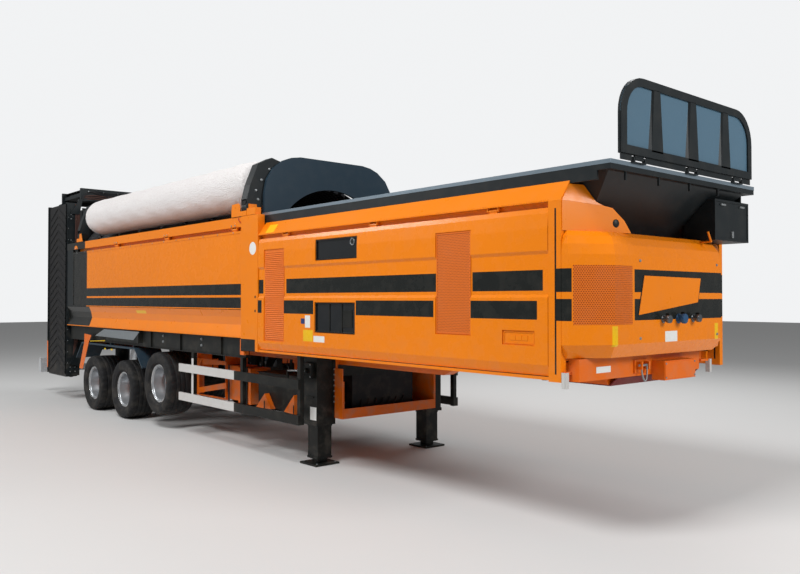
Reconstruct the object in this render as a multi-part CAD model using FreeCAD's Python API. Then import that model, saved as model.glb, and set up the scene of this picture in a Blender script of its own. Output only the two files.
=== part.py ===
import FreeCAD, Part
import math
import os

V = FreeCAD.Vector
os.makedirs("parts", exist_ok=True)

# Millimetres. +X points to the kingpin end, +Y to the left side, +Z up. The ground is z = 0.

# Whole machine
half_width = 1275.0
rear_end_x = -6825.0
sheet = 6.0
pin_gap = 0.1
swing_gap = 6.0

# Wheels and axles: one row per axle, rear to front, lift is how far the axle is raised
axle_rows = [
    {"name": "rear", "x": -3620.0, "lift": 0.0},
    {"name": "middle", "x": -2300.0, "lift": 0.0},
    {"name": "front", "x": -980.0, "lift": 200.0},
]
tyre_radius = 465.0
tyre_width = 424.0
tyre_bore = 255.0
wheel_y = half_width - tyre_width / 2 - 7.0
rim_half_width = 168.0
rim_flange_radius = 282.0
rim_wall = 26.0
rim_disc = 16.0
rim_dish = 64.0
hub_radius = 105.0
hand_holes = 8
hand_hole_radius = 26.0
hand_hole_circle = 162.0
stub_radius = 60.0
axle_tube_radius = 73.0

# Chassis
beam_inner_y = half_width - 745.0
beam_width = 140.0
beam_top_z = 1420.0
beam_bottom_z = 1150.0
beam_rear_x = -6000.0
beam_step_x = 4500.0
beam_step_run = 150.0
beam_front_x = 6422.0
skid_bottom_z = 1200.0
skid_thickness = 12.0
skid_half_width = beam_inner_y + 110.0
kingpin_x = 5250.0
kingpin_base_radius = 36.5
kingpin_neck_radius = 25.4
kingpin_collar_radius = 35.75
kingpin_base_height = 35.0
kingpin_neck_height = 30.0
kingpin_collar_height = 19.0
skirt_outer_y = half_width - 75.0
skirt_thickness = 50.0
skirt_bottom_z = 1180.0
skirt_top_z = 1430.0
skirt_rear_x = -4900.0

# Landing legs
leg_x = 2614.0
leg_y = half_width - 423.0
leg_casing = 260.0
leg_casing_bottom_z = 460.0
leg_casing_top_z = 1400.0
leg_tube = 196.0
leg_foot = 330.0
leg_foot_thickness = 22.0

# Drum, along X, between the section bulkhead and the rear portal
drum_radius = half_width - 315.0
drum_wall = 12.0
drum_hoop_radius = drum_radius + 25.0
drum_axis_z = beam_top_z + drum_hoop_radius + 25.0
drum_hoop_width = 60.0
drum_hoops = 9
drum_rear_x = -5700.0
drum_front_x = 1500.0
roller_radius = 100.0
roller_angle = 40.0
roller_gap = 0.35

# Drum housing sides: the top rail stands over the drum's middle, the walls hang from it
rail_top_z = drum_axis_z + 510.0
rail_bottom_z = rail_top_z - 125.0
wall_hinge_z = rail_bottom_z - 25.0
wall_top_z = wall_hinge_z - 25.0
wall_outer_y = half_width - 17.0
wall_thickness = 24.0
wall_bottom_z = 1786.0
wall_rear_x = -4640.0
wall_hinge_y = half_width - 35.0
wall_hinge_xs = [-4480.0, -2590.0, -675.0, 1310.0]
rail_inner_y = half_width - 145.0
rail_outer_y = half_width - 13.0
side_rear_x = -4950.0
post_outer_y = half_width - 76.0
post_inner_y = half_width - 155.0
post_width = 80.0
post_xs = [-4900.0, -2840.0, -740.0, 1440.0]
cheek_outer_y = half_width - 269.0
portal_rear_x = -5800.0
portal_thickness = 40.0
portal_arch_radius = drum_radius + 80.0
portal_opening_radius = drum_radius - 60.0

# Section posts and bulkhead between drum and hopper
section_rear_x = 1520.0
section_front_x = 1920.0
section_inner_y = half_width - 95.0
bulkhead_x = 1650.0
bulkhead_thickness = 40.0
inlet_top_z = drum_axis_z + 1315.0
inlet_half_width = half_width - 230.0
inlet_opening_radius = drum_radius - 30.0

# Hopper
rim_z = 2960.0
rim_half_y = half_width - 143.0
rim_front_x = 6792.0
rim_band_y = half_width - 117.0
rim_band_bottom_z = 2820.0
floor_z = 2048.0
floor_half_y = half_width - 803.0
floor_front_x = 5850.0
hopper_wall = 12.0
belt_half_y = floor_half_y - 27.0
belt_rear_x = 1560.0
belt_front_x = 5900.0
belt_thickness = 150.0
belt_gap = 6.0
belt_shaft_radius = 40.0
flap_half_y = rim_half_y - 82.0
flap_bottom_z = 3020.0
flap_top_z = 3625.0
flap_corner_radius = 290.0
flap_rear_x = 6785.0
flap_thickness = 40.0
flap_hinge_z = 2995.0
flap_hinge_x = 6805.0

# Front housing
housing_front_x = 6300.0
front_post_x = 6422.0
sill_bottom_z = 1280.0
sill_top_z = 1400.0
door_bottom_z = 1310.0
door_top_z = 2632.0
door_outer_y = half_width - 8.0
door_thickness = 27.0
door_hinge_y = half_width - 30.0
door_hinge_z = 2655.0
door_hinge_xs = [2500.0, 4100.0, 5700.0]
roof_edge_z = 2680.0
roof_top_z = 2840.0
hood_left_cut = 262.0

# Brush beside the drum
brush_radius = 320.0
brush_core_radius = 30.0
brush_y = half_width - 375.0
brush_gap = 8.0
brush_rear_x = -4270.0
brush_front_x = 1450.0
brush_pivot_y = half_width - 95.0
brush_pivot_z = rail_top_z + 110.0
brush_arm_half = 85.0
brush_arm_past = 200.0
brush_arm_rows = [
    {"x0": -4400.0, "x1": -4300.0},
    {"x0": 1505.0, "x1": 1625.0},
]

# Side discharge conveyor, folded up beside the drum
side_conveyor_rear_x = -6100.0
side_conveyor_front_x = -5000.0
side_conveyor_inner_y = half_width - 263.0
side_conveyor_outer_y = half_width - 13.0
side_conveyor_bottom_z = 480.0
side_fold_z = 3770.0
side_ear_radius = 40.0
side_upper_length = 1150.0
side_pivot_y = half_width - 325.0
side_pivot_z = 1230.0
conveyor_frame_width = 60.0
conveyor_pin_radius = 25.0
belt_sink = 20.0

# Rear conveyor, folded up behind the drum
rear_conveyor_half_y = beam_inner_y - 30.0
rear_conveyor_front_x = -6180.0
rear_conveyor_thickness = 215.0
rear_conveyor_gap = 20.0
rear_conveyor_bottom_z = 870.0
rear_conveyor_top_z = 3760.0
rear_upper_length = 1750.0
rear_pivot_z = 900.0
rear_fold_above = 24.0
rear_pivot_inset = 45.0
rear_fold_pin = 10.0


def box(x0, x1, y0, y1, z0, z1):
    return Part.makeBox(x1 - x0, y1 - y0, z1 - z0, V(x0, y0, z0))


def rod_x(radius, x0, x1, y, z):
    return Part.makeCylinder(radius, x1 - x0, V(x0, y, z), V(1, 0, 0))


def rod_y(radius, y0, y1, x, z):
    return Part.makeCylinder(radius, y1 - y0, V(x, y0, z), V(0, 1, 0))


def rod_z(radius, z0, z1, x, y):
    return Part.makeCylinder(radius, z1 - z0, V(x, y, z0), V(0, 0, 1))


def face(points):
    return Part.Face(Part.makePolygon(points + [points[0]]))


def prism_x(outline, x0, x1):
    """Outline of (y, z) points, swept from x0 to x1."""
    return face([V(x0, y, z) for y, z in outline]).extrude(V(x1 - x0, 0, 0))


def prism_z(outline, z0, z1):
    """Outline of (x, y) points, swept from z0 to z1."""
    return face([V(x, y, z0) for x, y in outline]).extrude(V(0, 0, z1 - z0))


def prism_y(outline, y0, y1):
    """Outline of (x, z) points, swept from y0 to y1."""
    return face([V(x, y0, z) for x, z in outline]).extrude(V(0, y1 - y0, 0))


def plate(points, thickness, towards):
    """Flat plate on the given points, thickened towards a direction."""
    flat = face(points)
    normal = flat.normalAt(0, 0)
    if normal.dot(towards) < 0:
        normal = normal * -1
    solid = flat.extrude(normal * thickness)
    return solid if solid.Volume > 0 else solid.reversed()


def ring_y(profile, x, y, z):
    """Profile of (radius, offset) points, turned about an axis along Y."""
    flat = face([V(x + radius, y + offset, z) for radius, offset in profile])
    return flat.revolve(V(x, y, z), V(0, 1, 0), 360)


def obround_y(x0, x1, z0, z1, y0, y1):
    """Slab along X with round ends, y0 to y1 wide."""
    half = (z1 - z0) / 2
    middle = (z0 + z1) / 2
    slab = box(x0 + half, x1 - half, y0, y1, z0, z1)
    return join([slab, rod_y(half, y0, y1, x0 + half, middle), rod_y(half, y0, y1, x1 - half, middle)])


def mirrored(shape):
    return shape.mirror(V(0, 0, 0), V(0, 1, 0))


def both_sides(shapes):
    """Pieces drawn on the left side, and their twins on the right."""
    return shapes + [mirrored(shape) for shape in shapes]


def join(shapes):
    return shapes[0].multiFuse(shapes[1:]).removeSplitter()


def save(node, shapes):
    shape = shapes[0] if len(shapes) == 1 else Part.makeCompound(shapes)
    shape.exportStep("parts/" + node + ".step")
    bounds = shape.BoundBox
    low = (round(bounds.XMin), round(bounds.YMin), round(bounds.ZMin))
    high = (round(bounds.XMax), round(bounds.YMax), round(bounds.ZMax))
    print(node, len(shape.Solids), round(shape.Volume / 1e9, 4), low, high)


def hinge_lugs(xs, y, z, carrier_z, radius, pin_radius, barrel):
    """Fixed lugs and pins of a hinge along X that hangs from a carrier above it."""
    pieces = []
    for x in xs:
        for side in (-1, 1):
            near = x + side * (barrel / 2 + swing_gap)
            far = near + side * 16.0
            pieces.append(box(min(near, far), max(near, far), y - radius, y + radius,
                              z, carrier_z))
            pieces.append(rod_x(radius, min(near, far), max(near, far), y, z))
        reach = barrel / 2 + swing_gap + 8.0
        pieces.append(rod_x(pin_radius, x - reach, x + reach, y, z))
    return pieces


def hinge_barrels(xs, y, z, panel_z, radius, pin_radius, barrel):
    """Barrels of a hinged panel that hangs below the same axis, and their bores."""
    pieces = []
    bores = []
    for x in xs:
        pieces.append(rod_x(radius, x - barrel / 2, x + barrel / 2, y, z))
        pieces.append(box(x - barrel / 2, x + barrel / 2, y - radius / 2, y + radius / 2,
                          panel_z - 20.0, z))
        bores.append(rod_x(pin_radius + pin_gap, x - barrel, x + barrel, y, z))
    return pieces, bores


def tyre(x, y, z):
    half = tyre_width / 2
    side = [(tyre_bore + pin_gap * 3, 150.0), (290.0, 152.0), (314.0, half - 14.0),
            (402.0, half), (443.0, half - 8.0), (tyre_radius, half - 42.0)]
    profile = side + [(radius, -offset) for radius, offset in reversed(side)]
    return ring_y(profile, x, y, z)


def rim(x, y, z, out):
    """Rim, disc and hub in one; out is +1 on the left side and -1 on the right."""
    inner = tyre_bore - rim_wall
    flange = 12.0
    barrel = ring_y([(inner, -rim_half_width), (rim_flange_radius, -rim_half_width),
                     (rim_flange_radius, flange - rim_half_width), (tyre_bore, flange - rim_half_width),
                     (tyre_bore, rim_half_width - flange), (rim_flange_radius, rim_half_width - flange),
                     (rim_flange_radius, rim_half_width), (inner, rim_half_width)], x, y, z)
    disc_y = y - out * rim_dish
    disc = rod_y(inner, disc_y - rim_disc / 2, disc_y + rim_disc / 2, x, z)
    for index in range(hand_holes):
        angle = 2 * math.pi * index / hand_holes
        hole_x = x + hand_hole_circle * math.cos(angle)
        hole_z = z + hand_hole_circle * math.sin(angle)
        disc = disc.cut(rod_y(hand_hole_radius, disc_y - rim_disc, disc_y + rim_disc, hole_x, hole_z))
    hub_in = y - out * 116.0
    hub_out = y + out * 40.0
    hub = rod_y(hub_radius, min(hub_in, hub_out), max(hub_in, hub_out), x, z)
    stub_in = y - out * 120.0
    stub_out = y + out * 6.0
    bore = rod_y(stub_radius + pin_gap, min(stub_in, stub_out), max(stub_in, stub_out), x, z)
    return join([barrel, disc, hub]).cut(bore)


def wheels():
    for row in axle_rows:
        z = tyre_radius + row["lift"]
        for side, out in (("right", -1), ("left", 1)):
            name = row["name"] + "_" + side
            save("tyre_" + name, [tyre(row["x"], out * wheel_y, z)])
            save("rim_" + name, [rim(row["x"], out * wheel_y, z, out)])


def axles():
    shapes = []
    tube_half = wheel_y - 221.0
    stub_half = wheel_y
    for row in axle_rows:
        z = tyre_radius + row["lift"]
        tube = rod_y(axle_tube_radius, -tube_half, tube_half, row["x"], z)
        shapes.append(join([tube, rod_y(stub_radius, -stub_half, stub_half, row["x"], z)]))
    save("axles", shapes)


def suspension():
    shapes = []
    pivot_z = 800.0
    arm_half = 38.0
    arm_y0 = beam_inner_y + 30.0
    arm_y1 = arm_y0 + 80.0
    cheek = 18.0
    bag_radius = 125.0
    for row in axle_rows:
        x = row["x"]
        z = tyre_radius + row["lift"]
        seat_z = z + axle_tube_radius + arm_half
        line = [(x + 500.0, pivot_z), (x + 90.0, seat_z), (x - 90.0, seat_z), (x - 470.0, seat_z)]
        outline = [(px, pz + arm_half) for px, pz in line]
        outline += [(px, pz - arm_half) for px, pz in reversed(line)]
        arm = prism_y(outline, arm_y0, arm_y1)
        saddle = box(x - 90.0, x + 90.0, arm_y0, arm_y1, z - 10.0, seat_z)
        saddle = saddle.cut(rod_y(axle_tube_radius, arm_y0, arm_y1, x, z))
        eye = rod_y(55.0, arm_y0, arm_y1, x + 500.0, pivot_z)
        hanger = [box(x + 430.0, x + 570.0, y, y + cheek, pivot_z - 60.0, beam_bottom_z)
                  for y in (arm_y0 - cheek, arm_y1)]
        hanger.append(box(x + 430.0, x + 570.0, arm_y0, arm_y1, beam_bottom_z - 120.0, beam_bottom_z))
        bag_y = (arm_y0 + arm_y1) / 2
        bag = rod_z(bag_radius, seat_z + arm_half + 60.0, beam_bottom_z, x - 340.0, bag_y)
        foot = rod_z(80.0, seat_z, seat_z + arm_half + 60.0, x - 340.0, bag_y)
        shapes.append(join([arm, saddle, eye, foot, bag] + hanger))
    save("suspension", both_sides(shapes))


def chassis():
    y0 = beam_inner_y
    y1 = beam_inner_y + beam_width
    skid_top = skid_bottom_z + skid_thickness
    outline = [(beam_rear_x, beam_bottom_z), (beam_step_x, beam_bottom_z),
               (beam_step_x + beam_step_run, skid_top), (beam_front_x, skid_top),
               (beam_front_x, beam_top_z), (beam_rear_x, beam_top_z)]
    beams = both_sides([prism_y(outline, y0, y1)])

    # x, bottom and top of the middle piece, whether it has outriggers to the skirts or the sills
    rows = [
        {"x": -5880.0, "z0": beam_bottom_z, "z1": 1190.0, "reach": 0.0},
        {"x": -4500.0, "z0": beam_bottom_z, "z1": 1190.0, "reach": skirt_outer_y - skirt_thickness},
        {"x": -2960.0, "z0": beam_bottom_z, "z1": 1190.0, "reach": skirt_outer_y - skirt_thickness},
        {"x": -1640.0, "z0": beam_bottom_z, "z1": 1190.0, "reach": skirt_outer_y - skirt_thickness},
        {"x": -200.0, "z0": beam_bottom_z, "z1": 1190.0, "reach": skirt_outer_y - skirt_thickness},
        {"x": 1300.0, "z0": beam_bottom_z, "z1": 1190.0, "reach": skirt_outer_y - skirt_thickness},
        {"x": 2200.0, "z0": 1300.0, "z1": 1400.0, "reach": section_inner_y},
        {"x": 4200.0, "z0": 1300.0, "z1": 1400.0, "reach": section_inner_y},
        {"x": 6200.0, "z0": 1300.0, "z1": 1400.0, "reach": section_inner_y},
    ]
    shapes = []
    for row in rows:
        shapes.append(box(row["x"] - 50.0, row["x"] + 50.0, -y0, y0, row["z0"], row["z1"]))
        if row["reach"]:
            arm = box(row["x"] - 50.0, row["x"] + 50.0, y1, row["reach"], 1300.0, 1400.0)
            shapes += both_sides([arm])
    save("chassis_frame", [join(beams + shapes)])


def kingpin_plate():
    top = skid_bottom_z + skid_thickness
    rise = 70.0
    flat_x = beam_front_x + 8.0
    nose_x = flat_x + 75.0
    rear_x = beam_step_x + beam_step_run
    outline = [(rear_x, skid_bottom_z), (flat_x, skid_bottom_z), (nose_x, skid_bottom_z + rise),
               (nose_x, top + rise), (flat_x - 5.0, top), (rear_x, top)]
    slab = prism_y(outline, -skid_half_width, skid_half_width)
    neck_z = skid_bottom_z - kingpin_base_height
    collar_z = neck_z - kingpin_neck_height
    low_z = collar_z - kingpin_collar_height
    pin = [rod_z(kingpin_base_radius, neck_z, skid_bottom_z, kingpin_x, 0.0),
           rod_z(kingpin_neck_radius, collar_z, neck_z, kingpin_x, 0.0),
           rod_z(kingpin_collar_radius, low_z, collar_z, kingpin_x, 0.0)]
    save("kingpin_plate", [join([slab] + pin)])


def skirts():
    inner = skirt_outer_y - skirt_thickness
    skirt = box(skirt_rear_x, section_rear_x, inner, skirt_outer_y, skirt_bottom_z, skirt_top_z)
    step = box(-3000.0, -1670.0, skirt_outer_y, skirt_outer_y + 60.0, 1235.0, 1420.0)
    save("chassis_skirts", both_sides([join([skirt, step])]))


def fenders():
    top = 1150.0
    low = 870.0
    skin = 14.0
    front_x = -1500.0
    rear_x = -4420.0
    flat_front_x = -1790.0
    flat_rear_x = -4130.0
    line = [(rear_x, low), (flat_rear_x, top), (flat_front_x, top), (front_x, low)]
    outline = line + [(px, pz - skin) for px, pz in reversed(line)]
    outer = rail_outer_y
    inner = outer - 412.0
    skirt_inner = skirt_outer_y - skirt_thickness
    shapes = [prism_y(outline, inner, outer)]
    for x in (-3900.0, -2960.0, -2000.0):
        shapes.append(box(x - 25.0, x + 25.0, skirt_inner, skirt_outer_y, top - skin / 2, skirt_bottom_z))
    save("fenders", both_sides([join(shapes)]))


def landing_legs():
    half = leg_casing / 2
    beam_outer_y = beam_inner_y + beam_width
    casing = box(leg_x - half, leg_x + half, leg_y - half, leg_y + half,
                 leg_casing_bottom_z, leg_casing_top_z)
    bracket = box(leg_x - half, leg_x + half, beam_outer_y, leg_y - half, 1170.0, 1390.0)
    tube = leg_tube / 2
    neck = 60.0
    foot = leg_foot / 2
    pieces = [
        casing,
        bracket,
        box(leg_x - tube, leg_x + tube, leg_y - tube, leg_y + tube,
            3 * leg_foot_thickness, leg_casing_bottom_z),
        box(leg_x - neck, leg_x + neck, leg_y - neck, leg_y + neck, 0.0, 3 * leg_foot_thickness),
        box(leg_x - foot, leg_x + foot, leg_y - foot, leg_y + foot, 0.0, leg_foot_thickness),
    ]
    save("landing_legs", both_sides([join(pieces)]))


def leg_tray():
    half_y = leg_y - leg_casing / 2
    rear_x = 2150.0
    front_x = 2900.0
    low = 530.0
    pieces = [
        box(rear_x, front_x, -half_y, half_y, low, low + 14.0),
        box(front_x - 14.0, front_x, -half_y, half_y, low, low + 115.0),
        box(rear_x, front_x, half_y - 14.0, half_y, low, 960.0),
        box(rear_x, front_x, -half_y, 14.0 - half_y, low, 960.0),
    ]
    save("leg_tray", [join(pieces)])
    save("hydraulic_unit", [box(rear_x + 60.0, front_x - 150.0, 242.0 - half_y, half_y - 242.0,
                                low + 14.0, 1010.0)])


def side_guards():
    outer = rail_outer_y
    rail = 26.0
    post = 60.0
    rear_x = -240.0
    front_x = 2780.0
    pieces = []
    for low in (500.0, 900.0):
        pieces.append(box(rear_x, front_x, outer - rail, outer, low, low + 110.0))
    # x of each post and the height of what it hangs from
    for x, top in ((100.0, skirt_bottom_z), (1440.0, skirt_bottom_z), (2720.0, sill_bottom_z)):
        pieces.append(box(x, x + post, skirt_outer_y - 18.0, outer - rail, 500.0, top))
    save("side_guards", both_sides([join(pieces)]))


def drum_sides():
    # Lower band under the wall: two steps inwards, then out again to the bottom flange
    skin = 8.0
    line = [(rail_outer_y, wall_bottom_z - swing_gap), (rail_outer_y - 36.0, 1690.0),
            (post_outer_y + skin, 1590.0), (rail_outer_y, skirt_top_z)]
    outline = line + [(y - skin, z) for y, z in reversed(line)]
    band = prism_x(outline, side_rear_x, section_rear_x)

    rail = box(side_rear_x, section_rear_x, rail_inner_y, rail_outer_y, rail_bottom_z, rail_top_z)
    lugs = hinge_lugs(wall_hinge_xs, wall_hinge_y, wall_hinge_z, rail_bottom_z, 16.0, 8.0, 90.0)
    posts = [box(x, x + post_width, post_inner_y, post_outer_y, skirt_top_z, rail_bottom_z)
             for x in post_xs]
    left = join([rail] + lugs + posts)
    save("drum_frame", [left, join([mirrored(left)] + brush_brackets())])

    # Rear end: narrow cheeks beside the folded conveyor, and a strip out to the wall's plane
    cheek = box(portal_rear_x + portal_thickness, side_rear_x, cheek_outer_y - sheet, cheek_outer_y,
                skirt_top_z, rail_top_z)
    cap = box(portal_rear_x + portal_thickness, side_rear_x, cheek_outer_y - 76.0, cheek_outer_y,
              rail_top_z - 80.0, rail_top_z)
    step = box(side_rear_x - 10.0, side_rear_x, cheek_outer_y, rail_outer_y, skirt_top_z, rail_top_z)
    strip = box(side_rear_x, wall_rear_x - 10.0, wall_outer_y - wall_thickness, wall_outer_y,
                wall_bottom_z, rail_bottom_z)
    portal(both_sides([join([cheek, cap, step, strip])]))

    # Chute plates that lead what falls through the drum to the belt between the beams
    beam_outer_y = beam_inner_y + beam_width
    line = [(beam_inner_y, beam_top_z), (beam_outer_y, beam_top_z), (post_inner_y, 1610.0)]
    outline = line + [(y, z + sheet) for y, z in reversed(line)]
    chutes = [band, prism_x(outline, side_rear_x + 40.0, 1300.0)]
    line = line[:2] + [(cheek_outer_y - sheet, 1560.0)]
    outline = line + [(y, z + sheet) for y, z in reversed(line)]
    chutes.append(prism_x(outline, drum_rear_x + drum_hoop_width + 30.0, side_rear_x + 40.0))
    save("drum_lower_bands", both_sides(chutes))


def portal(cheeks):
    x0 = portal_rear_x
    x1 = portal_rear_x + portal_thickness
    slab = box(x0, x1, -cheek_outer_y, cheek_outer_y, beam_top_z, rail_top_z)
    arch = rod_x(portal_arch_radius, x0, x1, 0.0, drum_axis_z)
    arch = arch.common(box(x0, x1, -cheek_outer_y, cheek_outer_y, drum_axis_z, drum_axis_z + 2000.0))
    opening = rod_x(portal_opening_radius, x0 - 10.0, x1 + 10.0, 0.0, drum_axis_z)
    save("rear_portal", [join([join([slab, arch]).cut(opening)] + cheeks)])


def drum():
    half = drum_hoop_width / 2
    pieces = [rod_x(drum_radius, drum_rear_x, drum_front_x, 0.0, drum_axis_z)]
    first = drum_rear_x + half
    pitch = (drum_front_x - drum_rear_x - drum_hoop_width) / (drum_hoops - 1)
    for index in range(drum_hoops):
        x = first + pitch * index
        pieces.append(rod_x(drum_hoop_radius, x - half, x + half, 0.0, drum_axis_z))
    inside = rod_x(drum_radius - drum_wall, drum_rear_x - 10.0, drum_front_x + 10.0, 0.0, drum_axis_z)
    save("drum", [join(pieces).cut(inside)])


def drum_rollers():
    angle = math.radians(roller_angle)
    reach = drum_hoop_radius + roller_radius + roller_gap
    y = reach * math.sin(angle)
    z = drum_axis_z - reach * math.cos(angle)
    half = 26.0
    cheek = 12.0
    shapes = []
    for x in (drum_rear_x + drum_hoop_width / 2, drum_front_x - drum_hoop_width / 2):
        pieces = [rod_x(roller_radius, x - half, x + half, y, z),
                  rod_x(22.0, x - half - 20.0, x + half + 20.0, y, z),
                  box(x - 46.0, x + 46.0, beam_inner_y + 20.0, y + 50.0, beam_top_z, beam_top_z + 20.0)]
        for near in (x - half - 6.0 - cheek, x + half + 6.0):
            pieces.append(box(near, near + cheek, y - 45.0, y + 45.0, beam_top_z + 20.0, z + 30.0))
        shapes.append(join(pieces))
    save("drum_rollers", both_sides(shapes))


def inlet_plate():
    x0 = bulkhead_x
    x1 = bulkhead_x + bulkhead_thickness
    slab = box(x0, x1, -section_inner_y, section_inner_y, beam_top_z, rail_bottom_z - 15.0)
    top = inlet_top_z
    half = inlet_half_width
    right = [(half, rail_bottom_z - 25.0), (half, top - 520.0), (half - 35.0, top - 335.0),
             (half - 130.0, top - 180.0), (half - 275.0, top - 70.0), (half - 400.0, top - 22.0),
             (half - 540.0, top)]
    arch = prism_x(right + [(-y, z) for y, z in reversed(right)], x0, x1)
    opening = rod_x(inlet_opening_radius, x0 - 10.0, x1 + 10.0, 0.0, drum_axis_z)
    save("drum_inlet_plate", [join([slab, arch]).cut(opening)])


def rectangle(x0, x1, half_y, z):
    corners = [V(x0, -half_y, z), V(x1, -half_y, z), V(x1, half_y, z), V(x0, half_y, z)]
    return Part.makePolygon(corners + [corners[0]])


def hopper_solid(x0, inset):
    """Trough shape from floor to rim, smaller by inset on every wall."""
    low = rectangle(x0, floor_front_x - inset, floor_half_y - inset, floor_z)
    high = rectangle(x0, rim_front_x - inset, rim_half_y - inset, rim_z)
    return Part.makeLoft([low, high], True, True)


def hopper():
    x0 = bulkhead_x + bulkhead_thickness
    outer = hopper_solid(x0, 0.0)
    band_outer = box(x0 + 60.0, rim_front_x, -rim_band_y, rim_band_y, rim_band_bottom_z, rim_z)
    band_inner = box(x0, rim_front_x - 60.0, 20.0 - rim_band_y, rim_band_y - 20.0,
                     rim_band_bottom_z, rim_z)
    lip = box(rim_front_x - 120.0, rim_front_x, -rim_band_y, rim_band_y, rim_band_bottom_z, rim_z - 70.0)
    band = band_outer.cut(band_inner).cut(lip)
    cheek_low = floor_z - belt_thickness - belt_gap
    cheeks = both_sides([box(x0, belt_front_x - 20.0, floor_half_y - hopper_wall, floor_half_y,
                             cheek_low, floor_z)])
    shell = join([outer, band] + cheeks).cut(hopper_solid(x0 - 1.0, hopper_wall))
    save("hopper_shell", [join([shell] + flap_hinges())])

    top = floor_z - belt_gap
    low = top - belt_thickness
    middle = (top + low) / 2
    slab = obround_y(belt_rear_x, belt_front_x, low, top, -belt_half_y, belt_half_y)
    reach = floor_half_y - hopper_wall
    shafts = [rod_y(belt_shaft_radius, -reach, reach, x, middle)
              for x in (x0 + 120.0, belt_front_x - 140.0)]
    save("hopper_belt", [join([slab] + shafts)])


def flap():
    y0 = flap_half_y
    r = flap_corner_radius
    top = flap_top_z
    low = flap_bottom_z
    x = flap_rear_x
    diagonal = r * (1 - math.sqrt(0.5))
    edges = [
        Part.LineSegment(V(x, -y0, low), V(x, -y0, top - r)),
        Part.Arc(V(x, -y0, top - r), V(x, diagonal - y0, top - diagonal), V(x, r - y0, top)),
        Part.LineSegment(V(x, r - y0, top), V(x, y0 - r, top)),
        Part.Arc(V(x, y0 - r, top), V(x, y0 - diagonal, top - diagonal), V(x, y0, top - r)),
        Part.LineSegment(V(x, y0, top - r), V(x, y0, low)),
        Part.LineSegment(V(x, y0, low), V(x, -y0, low)),
    ]
    wire = Part.Wire([edge.toShape() for edge in edges])
    panel = Part.Face(wire).extrude(V(flap_thickness, 0, 0))
    barrels = []
    bores = []
    for y in flap_hinge_ys():
        barrels.append(rod_y(14.0, y - 60.0, y + 60.0, flap_hinge_x, flap_hinge_z))
        barrels.append(box(flap_hinge_x - 8.0, flap_hinge_x + 8.0, y - 60.0, y + 60.0,
                           flap_hinge_z, low + 10.0))
        bores.append(rod_y(7.0 + pin_gap, y - 70.0, y + 70.0, flap_hinge_x, flap_hinge_z))
    save("hopper_flap", [join([panel] + barrels).cut(Part.makeCompound(bores))])


def flap_hinges():
    lugs = []
    for y in flap_hinge_ys():
        pieces = [rod_y(7.0, y - 80.0, y + 80.0, flap_hinge_x, flap_hinge_z),
                  box(rim_front_x - 30.0, flap_hinge_x + 14.0, y - 86.0, y + 86.0, rim_z, rim_z + 8.0)]
        for near in (y - 86.0, y + 66.0):
            pieces.append(rod_y(14.0, near, near + 20.0, flap_hinge_x, flap_hinge_z))
            pieces.append(box(flap_hinge_x - 14.0, flap_hinge_x + 14.0, near, near + 20.0,
                              rim_z, flap_hinge_z))
        lugs.append(join(pieces))
    return lugs


def flap_hinge_ys():
    return (250.0 - flap_half_y, 0.0, flap_half_y - 250.0)


def housing_frame():
    roof = [(half_width - 3.0, roof_edge_z), (rim_band_y, roof_top_z), (rim_band_y, roof_top_z - 14.0),
            (half_width - 20.0, roof_edge_z)]
    strip = prism_x(roof, section_front_x, housing_front_x)
    lugs = hinge_lugs(door_hinge_xs, door_hinge_y, door_hinge_z, roof_edge_z + 4.0, 12.0, 6.0, 90.0)
    gutter = box(section_front_x, housing_front_x, half_width - 50.0, half_width - 5.0,
                 roof_edge_z, roof_edge_z + 12.0)
    sill = box(section_front_x, housing_front_x, section_inner_y,
               door_outer_y - door_thickness - swing_gap, sill_bottom_z, sill_top_z)
    lip = box(section_front_x, housing_front_x, section_inner_y, door_outer_y, sill_bottom_z,
              door_bottom_z - swing_gap)
    post = [(half_width, sill_bottom_z - 10.0), (half_width, roof_edge_z), (rim_band_y, roof_top_z),
            (rim_band_y, roof_top_z - 60.0), (half_width - 59.0, roof_edge_z - 20.0),
            (half_width - 59.0, sill_bottom_z - 10.0)]
    front = prism_x(post, housing_front_x, front_post_x)
    rear = box(section_rear_x, section_front_x, section_inner_y, half_width, sill_bottom_z, rail_top_z)
    left = join([strip, gutter, sill, lip, front, rear] + lugs)
    save("housing_frame", [left, mirrored(left)])


def door_openings():
    """Windows, grilles and the pressed recess of a housing door: x0, x1, z0, z1 and depth."""
    return [
        {"x0": 3120.0, "x1": 3860.0, "z0": 2330.0, "z1": 2560.0, "depth": 18.0},
        {"x0": 3110.0, "x1": 3830.0, "z0": 1550.0, "z1": 1880.0, "depth": 18.0},
        {"x0": 2060.0, "x1": 2500.0, "z0": 1420.0, "z1": 2500.0, "depth": 5.0},
        {"x0": 5020.0, "x1": 5460.0, "z0": 1600.0, "z1": 2510.0, "depth": 5.0},
        {"x0": 5820.0, "x1": 6160.0, "z0": 1540.0, "z1": 1660.0, "depth": 5.0},
    ]


def door_profile(inner):
    """Pressed section of a housing door: two proud faces with a sunk band between them."""
    return [(inner, door_bottom_z), (inner + 8.0, door_bottom_z), (half_width, door_bottom_z + 85.0),
            (half_width, 1925.0), (door_outer_y - 6.0, 1950.0), (door_outer_y - 6.0, 2268.0),
            (half_width, 2296.0), (half_width, 2470.0), (door_outer_y, 2590.0),
            (door_outer_y - 10.0, door_top_z), (inner, door_top_z)]


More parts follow.
